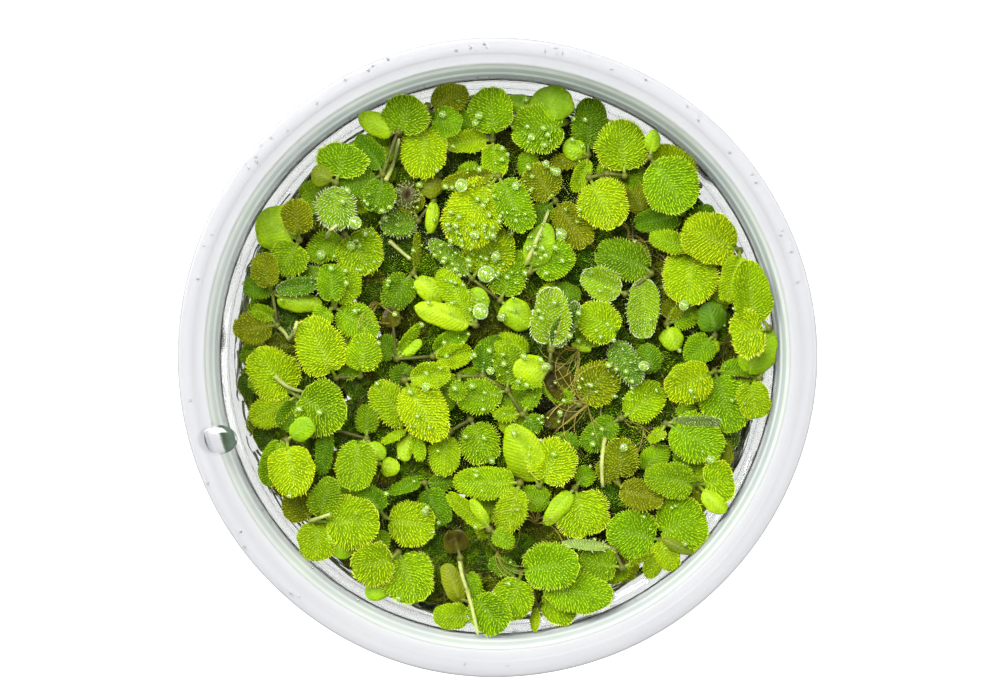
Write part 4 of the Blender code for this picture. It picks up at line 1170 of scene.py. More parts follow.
# Middles of the leaves whose hairs are long and catch the side light, so their tips get a painted highlight
HIGHLIGHT_HAIRED = (
    (-30.0, 27.0), (-35.0, 15.0), (-41.0, 5.0), (-18.5, 23.0), (-7.5, 18.0), (-12.0, 21.0), (19.0, 13.0),
    (28.0, 10.0), (-45.0, -11.0), (-46.0, -17.0), (22.0, -3.5), (45.0, -14.0), (-11.0, -32.0), (12.0, 6.0),
)
VEIN_ANGLE = math.radians(56)


def unit(vectors):
    return vectors / np.maximum(np.linalg.norm(vectors, axis=-1, keepdims=True), 1e-9)


def add_spikes(heap, feet, directions, bends, lengths, radii, low_tint, high_tint, plain=False):
    """Many bent spikes at once, each with two rings of three points and a tip, or one ring if plain."""
    directions = unit(directions)
    side = unit(np.cross(directions, (0.31, 0.52, 0.79)))
    other = np.cross(directions, side)
    rings, tints = [], []
    for share, width in ((-0.12, 1.0),) if plain else ((-0.12, 1.0), (0.60, 0.62)):
        centre = feet + directions * (lengths * share)[:, None] + bends * (lengths * share ** 2)[:, None]
        for turn in (0.0, 2 * math.pi / 3, 2 * math.pi * 2 / 3):
            outward = side * math.cos(turn) + other * math.sin(turn)
            rings.append(centre + outward * (radii * width)[:, None])
            tints.append(low_tint + (high_tint - low_tint) * max(share, 0.0))
    rings.append(feet + (directions + bends) * lengths[:, None])
    tints.append(high_tint)
    points = np.stack(rings, 1)
    colours = np.stack([np.broadcast_to(tint, feet.shape) for tint in tints], 1)
    first = (np.arange(len(feet)) * len(rings))[:, None, None]
    quads = np.array([(0, 1, 4, 3), (1, 2, 5, 4), (2, 0, 3, 5)])
    tips = np.array([(0, 1, 3), (1, 2, 3), (2, 0, 3)]) + (0 if plain else 3)
    faces = [(tips + first).reshape(-1, 3)] + ([] if plain else [(quads + first).reshape(-1, 4)])
    heap.add(points, faces, colours.reshape(-1, 3), HAIR)


def blade_stand(leaf, u, v, pose, stem, wave):
    """Points on top of the blade, with its normal, its forward and its sideways direction there."""
    def at(u, v):
        return blade_points(leaf, u, v, pose, stem, wave)

    ahead = unit(at(u + 0.01, v) - at(u - 0.01, v))
    aside = unit(at(u, v + 0.01) - at(u, v - 0.01))
    return at(u, v) + (0, 0, BLADE_LOW + BLADE_THICKNESS), unit(np.cross(ahead, aside)), ahead, aside


def leaf_middle(leaf):
    return ((leaf[0] + leaf[2]) / 2, (leaf[1] + leaf[3]) / 2)


def hair_places(leaf):
    """Where hairs stand, as u and v, in rows that run from the midrib outwards and forwards."""
    length = leaf_frame(leaf)[3]
    starts = np.arange(-0.7 * length, length, row_pitch(leaf))
    steps = np.arange(0.30, 0.75 * leaf[WIDTH], HAIR_PITCH)
    start, step = (grid.ravel() for grid in np.meshgrid(starts, steps, indexing="ij"))
    found = []
    for side in (-1, 1):
        u = (start + step * math.cos(VEIN_ANGLE) + rng.normal(0, HAIR_JITTER, len(start))) / length
        across = step * math.sin(VEIN_ANGLE) + rng.normal(0, HAIR_JITTER, len(start))
        half = blade_half(leaf, np.clip(u, 0.001, 0.999))
        inside = (u > 0.03) & (u < 0.97) & (across < 0.95 * half)
        found.append(np.stack([u[inside], side * (across / np.maximum(half, 0.01))[inside]], -1))
    return np.concatenate(found)


def add_hairs(heap, leaf, pose, stem, wave, tone, fringe, plain=False):
    """Adds a leaf's hairs, and the comb of hairs along its edge, which fringe makes longer."""
    u, v = hair_places(leaf).T
    feet, normal, ahead, aside = blade_stand(leaf, u, v, pose, stem, wave)
    sideways = (np.sign(v) * (0.35 + 0.65 * np.abs(v)))[:, None]
    outward = unit(ahead * (1.5 * u - 0.25)[:, None] + aside * sideways)
    size = min(1.0, max(0.65, leaf[WIDTH] / 8.0))
    from_middle = np.sqrt(v ** 2 + (2 * u - 1) ** 2)
    lengths = size * HAIR_LENGTH * rng.uniform(0.55, 1.15, len(u)) * (0.65 + 0.5 * from_middle)
    radii = size * HAIR_RADIUS * rng.uniform(0.7, 1.15, len(u))
    lean_out = outward * (0.5 + 0.9 * from_middle)[:, None]
    directions = normal + lean_out + rng.normal(0, HAIR_SCATTER, feet.shape)
    low_tint = tone * 0.70
    high_tint = np.minimum(tone * 1.6 + (0.27, 0.29, 0.0), 0.9)
    near_highlight = min(math.dist(leaf_middle(leaf), place) for place in HIGHLIGHT_HAIRED) < 3.0
    # Pale leaves and the listed ones get near-white hair tips, a painted highlight, and a longer comb.
    if leaf[TONE] == "pale" or near_highlight:
        high_tint, fringe = np.array(HIGHLIGHT_TINT), 1.7
    add_spikes(heap, feet, directions, outward * 0.25, lengths, radii, low_tint, high_tint, plain)
    # The comb along the edge
    turn = np.linspace(0.06, 0.94, max(6, int(1.9 * leaf[WIDTH] / COMB_PITCH))) * math.pi
    u = np.tile((1 - np.cos(turn)) / 2, 2)
    v = np.repeat((0.97, -0.97), len(turn))
    feet, normal, ahead, aside = blade_stand(leaf, u, v, pose, stem, wave)
    sideways = (2 * np.sign(v) * np.sqrt(u * (1 - u)))[:, None]
    outward = ahead * (2.2 * u - 1.1)[:, None] + aside * sideways
    lengths = size * HAIR_LENGTH * rng.uniform(0.65, 1.1, len(u)) * fringe
    radii = size * 1.1 * HAIR_RADIUS * rng.uniform(0.8, 1.15, len(u))
    directions = outward + normal * 0.35 + rng.normal(0, COMB_SCATTER, feet.shape)
    high_tint = np.minimum(high_tint + np.array((0.16, 0.17, 0.08)) * fringe, 0.9)
    feet = feet - (0, 0, 0.15)
    add_spikes(heap, feet, directions, normal * 0.15, lengths, radii, low_tint, high_tint, plain)


# %% [markdown]
# ## Stems, stalks and root threads
# These are all thin tubes along a line of points: a stem from joint to joint, a stalk to each leaf, and
# under each joint a bundle of root threads that spread, wave and hang down. Many tubes with the same
# number of points are made in one go, their rings turned so that they stand square to the line.

# %% Tubes
def add_tubes(heap, lines, radii, sides, low_tint, high_tint, slot):
    """Tubes along lines, an array of (tube, point, xyz), with a radius for each point."""
    lines = np.asarray(lines, float)
    tubes, points = lines.shape[:2]
    radii = np.broadcast_to(radii, (tubes, points))
    ahead = unit(np.gradient(lines, axis=1))
    side = unit(np.cross(ahead, (0.37, 0.61, 0.70)))
    other = np.cross(ahead, side)
    turn = np.arange(sides) * 2 * math.pi / sides
    ring = side[:, :, None] * np.cos(turn)[:, None] + other[:, :, None] * np.sin(turn)[:, None]
    mesh = lines[:, :, None] + ring * radii[:, :, None, None]
    share = np.linspace(0, 1, points)[None, :, None, None]
    tint = np.asarray(low_tint) + (np.asarray(high_tint) - low_tint) * share
    first = (np.arange(tubes) * points * sides)[:, None, None]
    walls = (grid_faces(points, sides, closed=True) + first).reshape(-1, 4)
    fan = np.array([(0, k + 1, k) for k in range(1, sides - 1)])
    ends = np.concatenate([fan, fan[:, ::-1] + (points - 1) * sides])
    ends = (ends + first).reshape(-1, 3)
    heap.add(mesh, [walls, ends], np.broadcast_to(tint, mesh.shape).reshape(-1, 3), slot)


ROOT_THREADS = 24
ROOT_LENGTH = 16.0
ROOT_SPREAD = 3.4
ROOT_CLEARANCE = 4.5
THREAD_RADII = np.array([0.16, 0.15, 0.13, 0.11, 0.09, 0.04])
ROOT_TINTS = ((0.08, 0.06, 0.015), (0.46, 0.27, 0.06))


def inside_wall(lines, clearance):
    """The same lines, each moved inwards as a whole where it would pass the tub's wall."""
    limit = wall_radius(np.clip(lines[..., 2], 5.0, CUP_HEIGHT)) - clearance
    away = np.hypot(lines[..., 0], lines[..., 1])
    share = np.minimum(1.0, limit / np.maximum(away, 0.1)).min(-1)
    moved = lines.copy()
    moved[..., :2] *= share[..., None, None]
    return moved


def add_roots(heap, joint, top):
    """A bundle of waving threads under a joint."""
    share = np.linspace(0, 1, len(THREAD_RADII))
    turn = rng.uniform(0, 2 * math.pi, (ROOT_THREADS, 1))
    reach = ROOT_SPREAD * rng.uniform(0.1, 1.0, (ROOT_THREADS, 1)) ** 0.7 * share ** 0.6
    depth = ROOT_LENGTH * rng.uniform(0.55, 1.0, (ROOT_THREADS, 1))
    sway = 0.7 * share * np.sin(rng.uniform(0, 6.28, (2, ROOT_THREADS, 1)) + 5 * share)
    x = joint[0] + reach * np.cos(turn) + sway[0]
    y = joint[1] + reach * np.sin(turn) + sway[1]
    z = top - share * (depth + top - WATER_LEVEL)
    lines = inside_wall(np.stack([x, y, z], -1), ROOT_CLEARANCE)
    add_tubes(heap, lines, THREAD_RADII, 3, *ROOT_TINTS, ROOT)


STEM_GREEN = np.array((0.16, 0.20, 0.015))
STEM_BROWN = np.array((0.07, 0.06, 0.012))


def add_stems(heap, fern, stem, poses):
    """Adds a fern's stem, a stalk to each leaf and a knot at each joint."""
    joints, leaves = fern
    middle = stem + STEM_RADIUS
    for first, last in zip(joints[:-1], joints[1:]):
        line = between((*first, middle), (*last, middle), 7)
        line[:, 2] += 0.25 * np.sin(np.linspace(0, math.pi, 7))
        add_tubes(heap, line[None], 0.75 * STEM_RADIUS, 7, STEM_GREEN, STEM_BROWN, STEM)
    for leaf, (_, _, lift) in zip(leaves, poses):
        base, forward, _, _ = leaf_frame(leaf)
        stalk_foot = (*nearest(joints, leaf[:2]), middle)
        line = between(stalk_foot, (*(base + 0.9 * forward), stem + lift + 0.25), 6)
        leaf_green = 1.1 * np.array(TONES[leaf[TONE]]) + 0.02
        add_tubes(heap, line[None], np.linspace(0.40, 0.26, 6), 6, STEM_GREEN, leaf_green, STEM)
    for joint in joints:
        knot = np.array((*joint, middle)) + [(0, 0, -0.45), (0, 0, 0.0), (0, 0, 0.40), (0, 0, 0.62)]
        add_tubes(heap, knot[None], np.array([0.55, 0.75, 0.55, 0.12]), 8, STEM_BROWN, STEM_GREEN, STEM)


# %% [markdown]
# ## Finishes of the plants
# One material dresses all the haired leaves, because each point's tint says how green it is. Noise
# mottles the tint, and ridges under the rows of hairs come from the grain map, which counts rows along
# and across each leaf: a line where (along minus two thirds of across) is a whole number is a row. The
# grooves between rows are painted darker, as painted shade, and the ridges a little lighter, as painted
# light.
# Smooth leaves show patches and faint veins instead, and brown ones lie wet, so they shine most.

# %% The haired leaf's finish
ROW_SLOPE = 0.675


def grain_rows(finish):
    """How many rows of hairs a place lies along its leaf, and how many across it."""
    grain = finish.node("ShaderNodeUVMap", {"uv_map": "grain"})
    return [finish.node("ShaderNodeSeparateXYZ", None, {"Vector": grain}, out=axis) for axis in "XY"]


leaf_finish = Finish("fern leaf", Roughness=0.5, Specular_IOR_Level=0.08)
along, across = grain_rows(leaf_finish)
mottle = leaf_finish.speckle(900.0)
row = along - abs(across) * ROW_SLOPE + (mottle - 0.5) * 1.8
ridge = ((row + 0.25) * (2 * math.pi)).sine()
# Darker in the grooves between rows of hairs and lighter on the ridges: painted shade and painted light, mixed with the
# noise mottle.
mottle_and_groove_shade = leaf_finish.multiply(leaf_finish.tint(), (0.47, 0.57, 0.45, 1.0))
mottle_and_ridge_light = leaf_finish.multiply(leaf_finish.tint(), (1.10, 1.05, 1.0, 1.0))
fine = leaf_finish.speckle(3200.0, 2.0)
leaf_finish.give(
    Base_Color=leaf_finish.blend(mottle_and_groove_shade, mottle_and_ridge_light, ridge * 0.26 + mottle * 1.3 - 0.10),
    Normal=leaf_finish.bump(ridge * 0.7 + fine * 0.8, 0.8, 0.00015),
)

# %% Smooth leaves and wet brown leaves
smooth_finish = Finish("smooth leaf", Roughness=0.38, Specular_IOR_Level=0.16)
along, across = grain_rows(smooth_finish)
veins = ((along - abs(across) * 0.9) * math.pi * 1.4).sine()
patches = smooth_finish.speckle(420.0)
fine = smooth_finish.speckle(2600.0, 2.0)
shaded = smooth_finish.multiply(smooth_finish.tint(), (0.55, 0.66, 0.5, 1.0))
light = patches * 1.4 + veins * 0.06 + fine * 1.5 - 0.8
smooth_finish.give(
    Base_Color=smooth_finish.blend(shaded, smooth_finish.tint(), light),
    Normal=smooth_finish.bump(veins * 0.15 + fine * 1.4, 0.8, 0.00018),
)

wet_finish = Finish("wet brown leaf", Roughness=0.18, Specular_IOR_Level=0.12)
old_green = wet_finish.speckle(260.0, 2.0)
fine = wet_finish.speckle(1500.0, 3.0)
gilded = wet_finish.blend(wet_finish.tint(), (0.11, 0.12, 0.006, 1.0), old_green * 2.6 - 0.9)
wet_finish.give(
    Base_Color=wet_finish.multiply(gilded, (0.35, 0.30, 0.25, 1.0), fine),
    Normal=wet_finish.bump(old_green + fine * 0.4, 0.9, 0.0004),
)

# %% Hairs, stems and roots
hair_finish = Finish("fern hair", Roughness=0.5, Specular_IOR_Level=0.10)
hair_noise = hair_finish.speckle(1500.0, 1.0)
hair_finish.give(Base_Color=hair_finish.multiply(hair_finish.tint(), (1.25, 1.2, 1.25, 1.0), hair_noise))

stem_finish = Finish("fern stem", Roughness=0.5, Specular_IOR_Level=0.3)
stem_noise = stem_finish.speckle(1100.0)
stem_finish.give(
    Base_Color=stem_finish.multiply(stem_finish.tint(), (0.45, 0.40, 0.30, 1.0), stem_noise),
    Normal=stem_finish.bump(stem_noise, 0.5, 0.0001),
)

root_finish = Finish("fern root", Roughness=0.7, Specular_IOR_Level=0.2)
root_noise = root_finish.speckle(700.0)
root_finish.give(
    Base_Color=root_finish.multiply(root_finish.tint(), (0.35, 0.30, 0.30, 1.0), root_noise),
    Normal=root_finish.bump(root_noise, 0.5, 0.0001),
)
# In the order of the slots' names: leaf, hair, stem, root, smooth leaf and wet leaf
plant_finishes = (leaf_finish, hair_finish, stem_finish, root_finish, smooth_finish, wet_finish)
plant_materials = [finish.material for finish in plant_finishes]
print("Plant finishes:", [material.name for material in plant_materials])

# %% [markdown]
# ## The ferns
# Each fern becomes one object: blades, hairs, stems and roots in one heap. It stands for the packed
# solid of the same number. Young or drowned leaves are smooth; on the others the hairs grow.

# %% Dress every fern
total = 0
for number, (fern, (stem, poses)) in enumerate(zip(FERNS, settled), start=1):
    joints, leaves = fern
    heap = Heap()
    for leaf, pose in zip(leaves, poses):
        wave = rng.uniform(0, 6.28)
        tone = np.array(TONES[leaf[TONE]]) * rng.uniform(0.88, 1.10) * (1 + rng.uniform(-0.08, 0.08), 1, 1)
        add_blade(heap, leaf, pose, stem, wave, tone)
        if leaf[TONE] == "pale" or (leaf[FORM] != "smooth" and leaf[TONE] != "brown"):
            add_hairs(heap, leaf, pose, stem, wave, tone, rng.uniform(0.6, 1.3))
    add_stems(heap, fern, stem, poses)
    for joint in joints:
        add_roots(heap, joint, stem + 0.3)
    plant = heap.build(f"spangle_{number:02d}", plant_materials)
    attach(plant, "root")
    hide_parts(f"fern_{number:02d}")
    total += heap.triangles()
print(f"Ferns: {total} triangles")

# %% [markdown]
# ## Young leaves in the gaps
# Seen from above, a crowded colony shows no open water: between the large leaves lie young ones and
# older ones that sank a little. A grid notes where the plan shows water, and how low the nearest leaf
# over each place hangs. Then small leaves are tried at open places, in several directions and sizes,
# and the one that covers most is kept, on the water where there is room and just under it elsewhere.

# %% Small leaves
GAP_REACH = 47.5
GAP_CELL = 0.4
YOUNG_LEAVES = 280
YOUNG_TRIES = 30
FEW_CELLS = 12
NO_LEAF = 99.0
gap_axis = np.arange(-BED_SPAN, BED_SPAN + 0.01, GAP_CELL)
gap_x, gap_y = np.meshgrid(gap_axis, gap_axis, indexing="ij")


def gap_cells(points):
    index = np.rint((points[..., :2] + BED_SPAN) / GAP_CELL).astype(int)
    index = np.clip(index, 0, len(gap_axis) - 1)
    return index[..., 0], index[..., 1]


def blade_samples(leaf, pose, stem):
    u, v = np.meshgrid(np.linspace(0.02, 0.98, 30), np.linspace(-1, 1, 27), indexing="ij")
    return blade_points(leaf, u, v, pose, stem, 0.0)


ceiling = np.full(gap_x.shape, NO_LEAF)
for (_, leaves), (stem, poses) in zip(FERNS, settled):
    for leaf, pose in zip(leaves, poses):
        places = blade_samples(leaf, pose, stem)
        np.minimum.at(ceiling, gap_cells(places), places[..., 2])
is_open = (ceiling == NO_LEAF) & (np.hypot(gap_x, gap_y) < GAP_REACH)
open_at_first = is_open.sum()
young = []
for _ in range(YOUNG_LEAVES):
    spots = np.argwhere(is_open)
    if len(spots) < FEW_CELLS:
        break
    best = None
    for _ in range(YOUNG_TRIES):
        middle = gap_axis[spots[rng.integers(len(spots))]] + rng.normal(0, 0.8, 2)
        heading = rng.uniform(0, 2 * math.pi)
        length = rng.uniform(4.5, 7.5)
        ahead = 0.5 * length * np.array((math.cos(heading), math.sin(heading)))
        if math.hypot(*middle) > GAP_REACH - 2.0:
            continue
        leaf = (*(middle - ahead), *(middle + ahead), min(5.0, 0.8 * length), "green", "open")
        places = blade_samples(leaf, (0.0, 0.0, 0.0), 0.0)
        cells = np.unique(np.stack(gap_cells(places), -1).reshape(-1, 2), axis=0)
        gain = is_open[cells[:, 0], cells[:, 1]].sum() / math.sqrt(len(cells))
        if best is None or gain > best[0]:
            best = (gain, leaf, cells)
    _, leaf, cells = best
    room = ceiling[cells[:, 0], cells[:, 1]].min()
    afloat = room > WATER_LEVEL + 1.9
    young.append((leaf, afloat))
    is_open[cells[:, 0], cells[:, 1]] = False
afloat_count = sum(afloat for _, afloat in young)
print(f"{len(young)} young leaves, {afloat_count} of them afloat")
print(f"Open water: {open_at_first} cells at first, {is_open.sum()} left")

# %% Build the small leaves
SECTORS = 6
sectors = [Heap() for _ in range(SECTORS)]
for leaf, afloat in young:
    heading = math.atan2(leaf[1], leaf[0]) % (2 * math.pi)
    heap = sectors[int(heading / (2 * math.pi) * SECTORS) % SECTORS]
    if afloat:
        tone_name = rng.choice(("green", "dark", "lime", "olive"), p=(0.40, 0.25, 0.25, 0.10))
        stem = WATER_LEVEL + 0.15
        pose = (rng.uniform(0.0, 0.7), rng.uniform(-0.08, 0.08), 0.0)
    else:
        tone_name = rng.choice(("green", "dark", "olive"), p=(0.35, 0.40, 0.25))
        stem = WATER_LEVEL - rng.uniform(1.4, 2.4)
        pose = (rng.uniform(-0.3, 0.3), rng.uniform(-0.06, 0.06), 0.0)
    wave = rng.uniform(0, 6.28)
    tone = np.array(TONES[tone_name]) * (rng.uniform(0.92, 1.12) if afloat else rng.uniform(0.5, 1.25))
    add_blade(heap, leaf, pose, stem, wave, tone, 11, 7)
    add_hairs(heap, leaf, pose, stem, wave, tone, rng.uniform(0.6, 1.3), plain=True)
    base, forward, _, _ = leaf_frame(leaf)
    stalk = between((*(base - 0.4 * forward), stem - 1.0), (*(base + 0.9 * forward), stem + 0.25), 5)
    add_tubes(heap, stalk[None], 0.26, 5, STEM_BROWN, STEM_GREEN, STEM)
for number, heap in enumerate(sectors, start=1):
    cluster = heap.build(f"young_leaves_{number}", plant_materials)
    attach(cluster, "root")
print("Young leaves:", [heap.triangles() for heap in sectors], "triangles")

# %% [markdown]
# ## Sunken leaves and root mat
# Below the ferns lies what they shed: brown, half rotten leaves, and a tangle of loose root threads
# that drifts just under the surface. The sunken leaves are tinted near black, a painted shade, and
# together they make the gaps look deep and dark. They get no hairs, because those rot first. Long
# grey-green strands lie along the wall: a painted reflection of the leaves in the meniscus, with a
# darker third as the painted shade line at its inner edge.

# %% Sunken leaves
SUNKEN_LEAVES = 340
MATS = 3
# Each leaf is turned on by this angle from the one before, which spreads them evenly over a disc.
GOLDEN_ANGLE = 2.39996
# Sunken leaves are tinted near black: partly the brown of rotting leaves, partly painted shade in the gaps.
SUNKEN_SHADE_BROWN = np.array((0.030, 0.024, 0.006))
SUNKEN_GREEN = np.array((0.0, 0.012, 0.0))
mats = [Heap() for _ in range(MATS)]
for number in range(SUNKEN_LEAVES):
    away = 46.0 * math.sqrt((number + 0.5) / SUNKEN_LEAVES)
    angle = number * GOLDEN_ANGLE
    x, y = away * math.cos(angle), away * math.sin(angle)
    heading = rng.uniform(0, 2 * math.pi)
    length = rng.uniform(6.5, 10.0)
    end = (x + length * math.cos(heading), y + length * math.sin(heading))
    if math.hypot(*end) > 48.5:
        end = (x - length * math.cos(heading), y - length * math.sin(heading))
    if math.hypot(*end) > 49.5:
        continue
    leaf = (x, y, *end, 0.8 * length, "brown", "smooth")
    pose = (rng.uniform(-0.8, 0.8), rng.uniform(-0.15, 0.15), 0.0)
    tone = SUNKEN_SHADE_BROWN * rng.uniform(0.5, 1.6) + SUNKEN_GREEN * rng.uniform(0, 1)
    height = rng.uniform(27.0, 30.2) if number % 2 else rng.uniform(20.0, 27.0)
    add_blade(mats[number % MATS], leaf, pose, height, rng.uniform(0, 6.28), tone, SUNKEN_ROWS, 5)
# One more, tinted near black as painted shade, lies where the floor would show through a gap.
gap_shade_leaf = (5.9, -8.0, 13.9, -9.0, 7.0, "brown", "smooth")
gap_shade_tone = np.array((0.03, 0.03, 0.006))
add_blade(mats[0], gap_shade_leaf, (0.3, 0.05, 0.0), 31.0, 1.0, gap_shade_tone, SUNKEN_ROWS, 5)

# %% Loose threads and strands
LOOSE_THREADS = 900
MENISCUS_REFLECTION_STRANDS = 300
THREAD_CLEARANCE = 5.0
# The tints of a thread at its first and its last point
THREAD_BROWN = ((0.16, 0.12, 0.035), (0.06, 0.045, 0.018))
THREAD_STRAW = ((0.50, 0.45, 0.20), (0.30, 0.24, 0.08))
# Tints of the strands along the wall: painted shade for the dark ones, painted reflection for the grey-green ones
STRAND_PAINTED_SHADE = ((0.05, 0.07, 0.04), (0.12, 0.16, 0.10))
STRAND_PAINTED_REFLECTION = ((0.18, 0.23, 0.09), (0.42, 0.44, 0.24))
share = np.linspace(0, 1, 9)
for number, heap in enumerate(mats):
    count = LOOSE_THREADS // MATS
    away = 47.0 * np.sqrt(rng.uniform(0.0, 1.0, (count, 1)))
    angle = rng.uniform(0, 2 * math.pi, (count, 1))
    heading = rng.uniform(0, 2 * math.pi, (count, 1)) + rng.normal(0, 0.6, (count, 1)) * share
    length = rng.uniform(5.0, 13.0, (count, 1))
    x = away * np.cos(angle) + length * share * np.cos(heading)
    y = away * np.sin(angle) + length * share * np.sin(heading)
    z = rng.uniform(30.2, 33.2, (count, 1)) + 0.5 * np.sin(6 * share + rng.uniform(0, 6, (count, 1)))
    lines = inside_wall(np.stack([x, y, z], -1), THREAD_CLEARANCE)
    brown = (count * 2) // 3
    add_tubes(heap, lines[:brown], np.linspace(0.13, 0.05, 9), 3, *THREAD_BROWN, ROOT)
    add_tubes(heap, lines[brown:], np.linspace(0.11, 0.06, 9), 3, *THREAD_STRAW, ROOT)
    # Strands along the wall paint the leaves mirrored in the meniscus, a painted reflection; the darker third paints
    # the shade line at its inner edge.
    count = MENISCUS_REFLECTION_STRANDS // MATS
    away = rng.uniform(46.8, 49.3, (count, 1)) + 0.3 * np.sin(5 * share + rng.uniform(0, 6, (count, 1)))
    angle = rng.uniform(0, 2 * math.pi, (count, 1)) + rng.uniform(0.06, 0.40, (count, 1)) * share
    depth = rng.uniform(26.0, 31.0, (count, 1)) + 0.6 * np.sin(5 * share + angle)
    strands = np.stack([away * np.cos(angle), away * np.sin(angle), depth], -1)
    dark = count // 3
    add_tubes(heap, strands[:dark], np.linspace(0.16, 0.05, 9), 4, *STRAND_PAINTED_SHADE, ROOT)
    add_tubes(heap, strands[dark:], np.linspace(0.34, 0.10, 9), 4, *STRAND_PAINTED_REFLECTION, ROOT)
    mat = heap.build(f"root_mat_and_shade_{number + 1}", plant_materials)
    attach(mat, "root")
print("Root mat:", [heap.triangles() for heap in mats], "triangles")

# %% [markdown]
# ## The top of the pile
# Drops, shed stalks and loose threads lie on the leaves, so their height comes from the leaves under
# them. A fine grid keeps the highest point of the blades at each place.

# %% Height of the pile
pile = np.full(gap_x.shape, WATER_LEVEL)
for (_, leaves), (stem, poses) in zip(FERNS, settled):
    for leaf, pose in zip(leaves, poses):
        places = blade_samples(leaf, pose, stem)
        np.maximum.at(pile, gap_cells(places), places[..., 2] + BLADE_LOW + BLADE_THICKNESS)


def top_at(x, y, reach=0.0):
    """Highest point of the pile within a reach of a place, in mm."""
    rows, columns = gap_cells(np.array([(x - reach, y - reach), (x + reach, y + reach)]))
    return float(pile[rows[0]:rows[1] + 1, columns[0]:columns[1] + 1].max())


print(f"The pile reaches {pile.max():.1f} mm above the table")

# %% [markdown]
# ## Loose stalks and brown threads
# A few pale stalks lie across the leaves, shed by leaves that rotted away, and brown and golden root
# threads lie where ferns are dying. Each is a tube along a curve that bows a little. One young leaf
# is still rolled up.

# %% Loose stalks
# Each stalk: x and y of its two ends
PALE_STALKS = (
    (-20.3, 32.3, -18.0, 40.0), (-20.0, 21.5, -16.0, 18.0), (-31.5, 22.0, -29.0, 24.0),
    (5.3, 17.0, 9.5, 27.0), (-41.0, -3.5, -36.0, -6.5), (-40.5, 5.5, -38.5, 3.0),
    (-38.5, 3.0, -36.5, 6.5), (20.0, -15.0, 19.5, -24.0), (-34.5, -30.3, -30.5, -28.8),
    (-7.0, -37.0, -5.5, -43.0), (-5.5, -43.0, -3.5, -51.0),
)
# Each tuft: x, y, how many threads, how long and which way
THREAD_TUFTS = (
    (16.8, -9.0, 14, 9.5, 3.4), (15.0, 1.5, 10, 9.0, 4.4), (7.0, -31.0, 8, 8.0, 1.0),
    (0.0, -36.0, 6, 7.0, 5.0), (27.0, -13.0, 8, 7.0, 4.7), (24.0, 22.0, 5, 6.0, 0.0),
    (-22.0, 10.0, 7, 7.0, 4.0),
)
STALK_TINTS = ((0.44, 0.50, 0.12), (0.50, 0.58, 0.20))
THREAD_GOLD = ((0.24, 0.19, 0.02), (0.58, 0.52, 0.11))
loose = Heap()
share = np.linspace(0, 1, 9)
for x0, y0, x1, y1 in PALE_STALKS:
    bow = rng.uniform(-0.12, 0.12)
    x = x0 + (x1 - x0) * share + bow * (y1 - y0) * np.sin(math.pi * share)
    y = y0 + (y1 - y0) * share - bow * (x1 - x0) * np.sin(math.pi * share)
    ends = [top_at(x[k], y[k], 0.5) for k in (0, 4, 8)]
    z = np.interp(share, (0, 0.5, 1), ends) + 0.75
    line = np.stack([x, y, z], -1)
    add_tubes(loose, line[None], np.linspace(0.42, 0.30, 9), 8, *STALK_TINTS, STEM)
for x0, y0, count, length, way in THREAD_TUFTS:
    for _ in range(count):
        heading = way + rng.normal(0, 0.8)
        bend = rng.normal(0, 1.0)
        reach = length * rng.uniform(0.6, 1.0)
        x = x0 + reach * share * np.cos(heading + bend * share)
        y = y0 + reach * share * np.sin(heading + bend * share)
        z = np.array([top_at(a, b) for a, b in zip(x, y)])
        z = np.convolve(np.pad(z, 2, mode="edge"), np.ones(5) / 5, "valid") + 0.6
        line = np.stack([x, y, z], -1)
        add_tubes(loose, line[None], np.linspace(0.085, 0.04, 9), 5, *THREAD_GOLD, STEM)

# %% A young leaf, still rolled up: a ring of hairs round a brown hollow
ROLLED = (-16.6, 29.9)
ROLLED_HAIRS = 190
ROLLED_TINTS = (np.array((0.16, 0.22, 0.01)), np.array((0.62, 0.70, 0.30)))
turn = rng.uniform(0, 2 * math.pi, ROLLED_HAIRS)
ring = rng.uniform(1.0, 2.5, ROLLED_HAIRS)
outward = np.stack([np.cos(turn), np.sin(turn), 0.5 * rng.uniform(0, 1, ROLLED_HAIRS)], -1)
curl = rng.normal(0, 0.7, (ROLLED_HAIRS, 3))
rolled_middle = np.array((*ROLLED, top_at(*ROLLED, 1.0) + 0.5))
feet = rolled_middle + outward * (1, 1, 0) * ring[:, None]
lengths, radii = rng.uniform(0.4, 1.1, ROLLED_HAIRS), np.full(ROLLED_HAIRS, 0.10)
directions = 0.6 * outward + curl + (0, 0, 1.1)
add_spikes(loose, feet, directions, -0.6 * curl, lengths, radii, *ROLLED_TINTS)
bowl = rolled_middle + [(0, 0, -0.9), (0, 0, -0.5), (0, 0, 0.1), (0, 0, -0.1)]
bowl_radii = np.array([2.1, 2.5, 1.4, 0.5])
add_tubes(loose, bowl[None], bowl_radii, 14, (0.14, 0.18, 0.01), (0.04, 0.02, 0.004), STEM)
litter = loose.build("loose_stalks", plant_materials)
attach(litter, "root")
print(f"Loose stalks: {loose.triangles()} triangles")

# %% [markdown]
# ## Water drops
# The hairs hold water off the leaf, so drops stand on them almost as whole balls. Each drop is a ball
# pressed a little flat. Large ones are placed as they were seen, and a fine spray of small ones lies
# among them. One large drop clings to the wall, which shows through it in stripes; these stripes and
# its highlights are painted into tints of its own from side to side. The small drops on the wall and
# the brim are plain clear water.

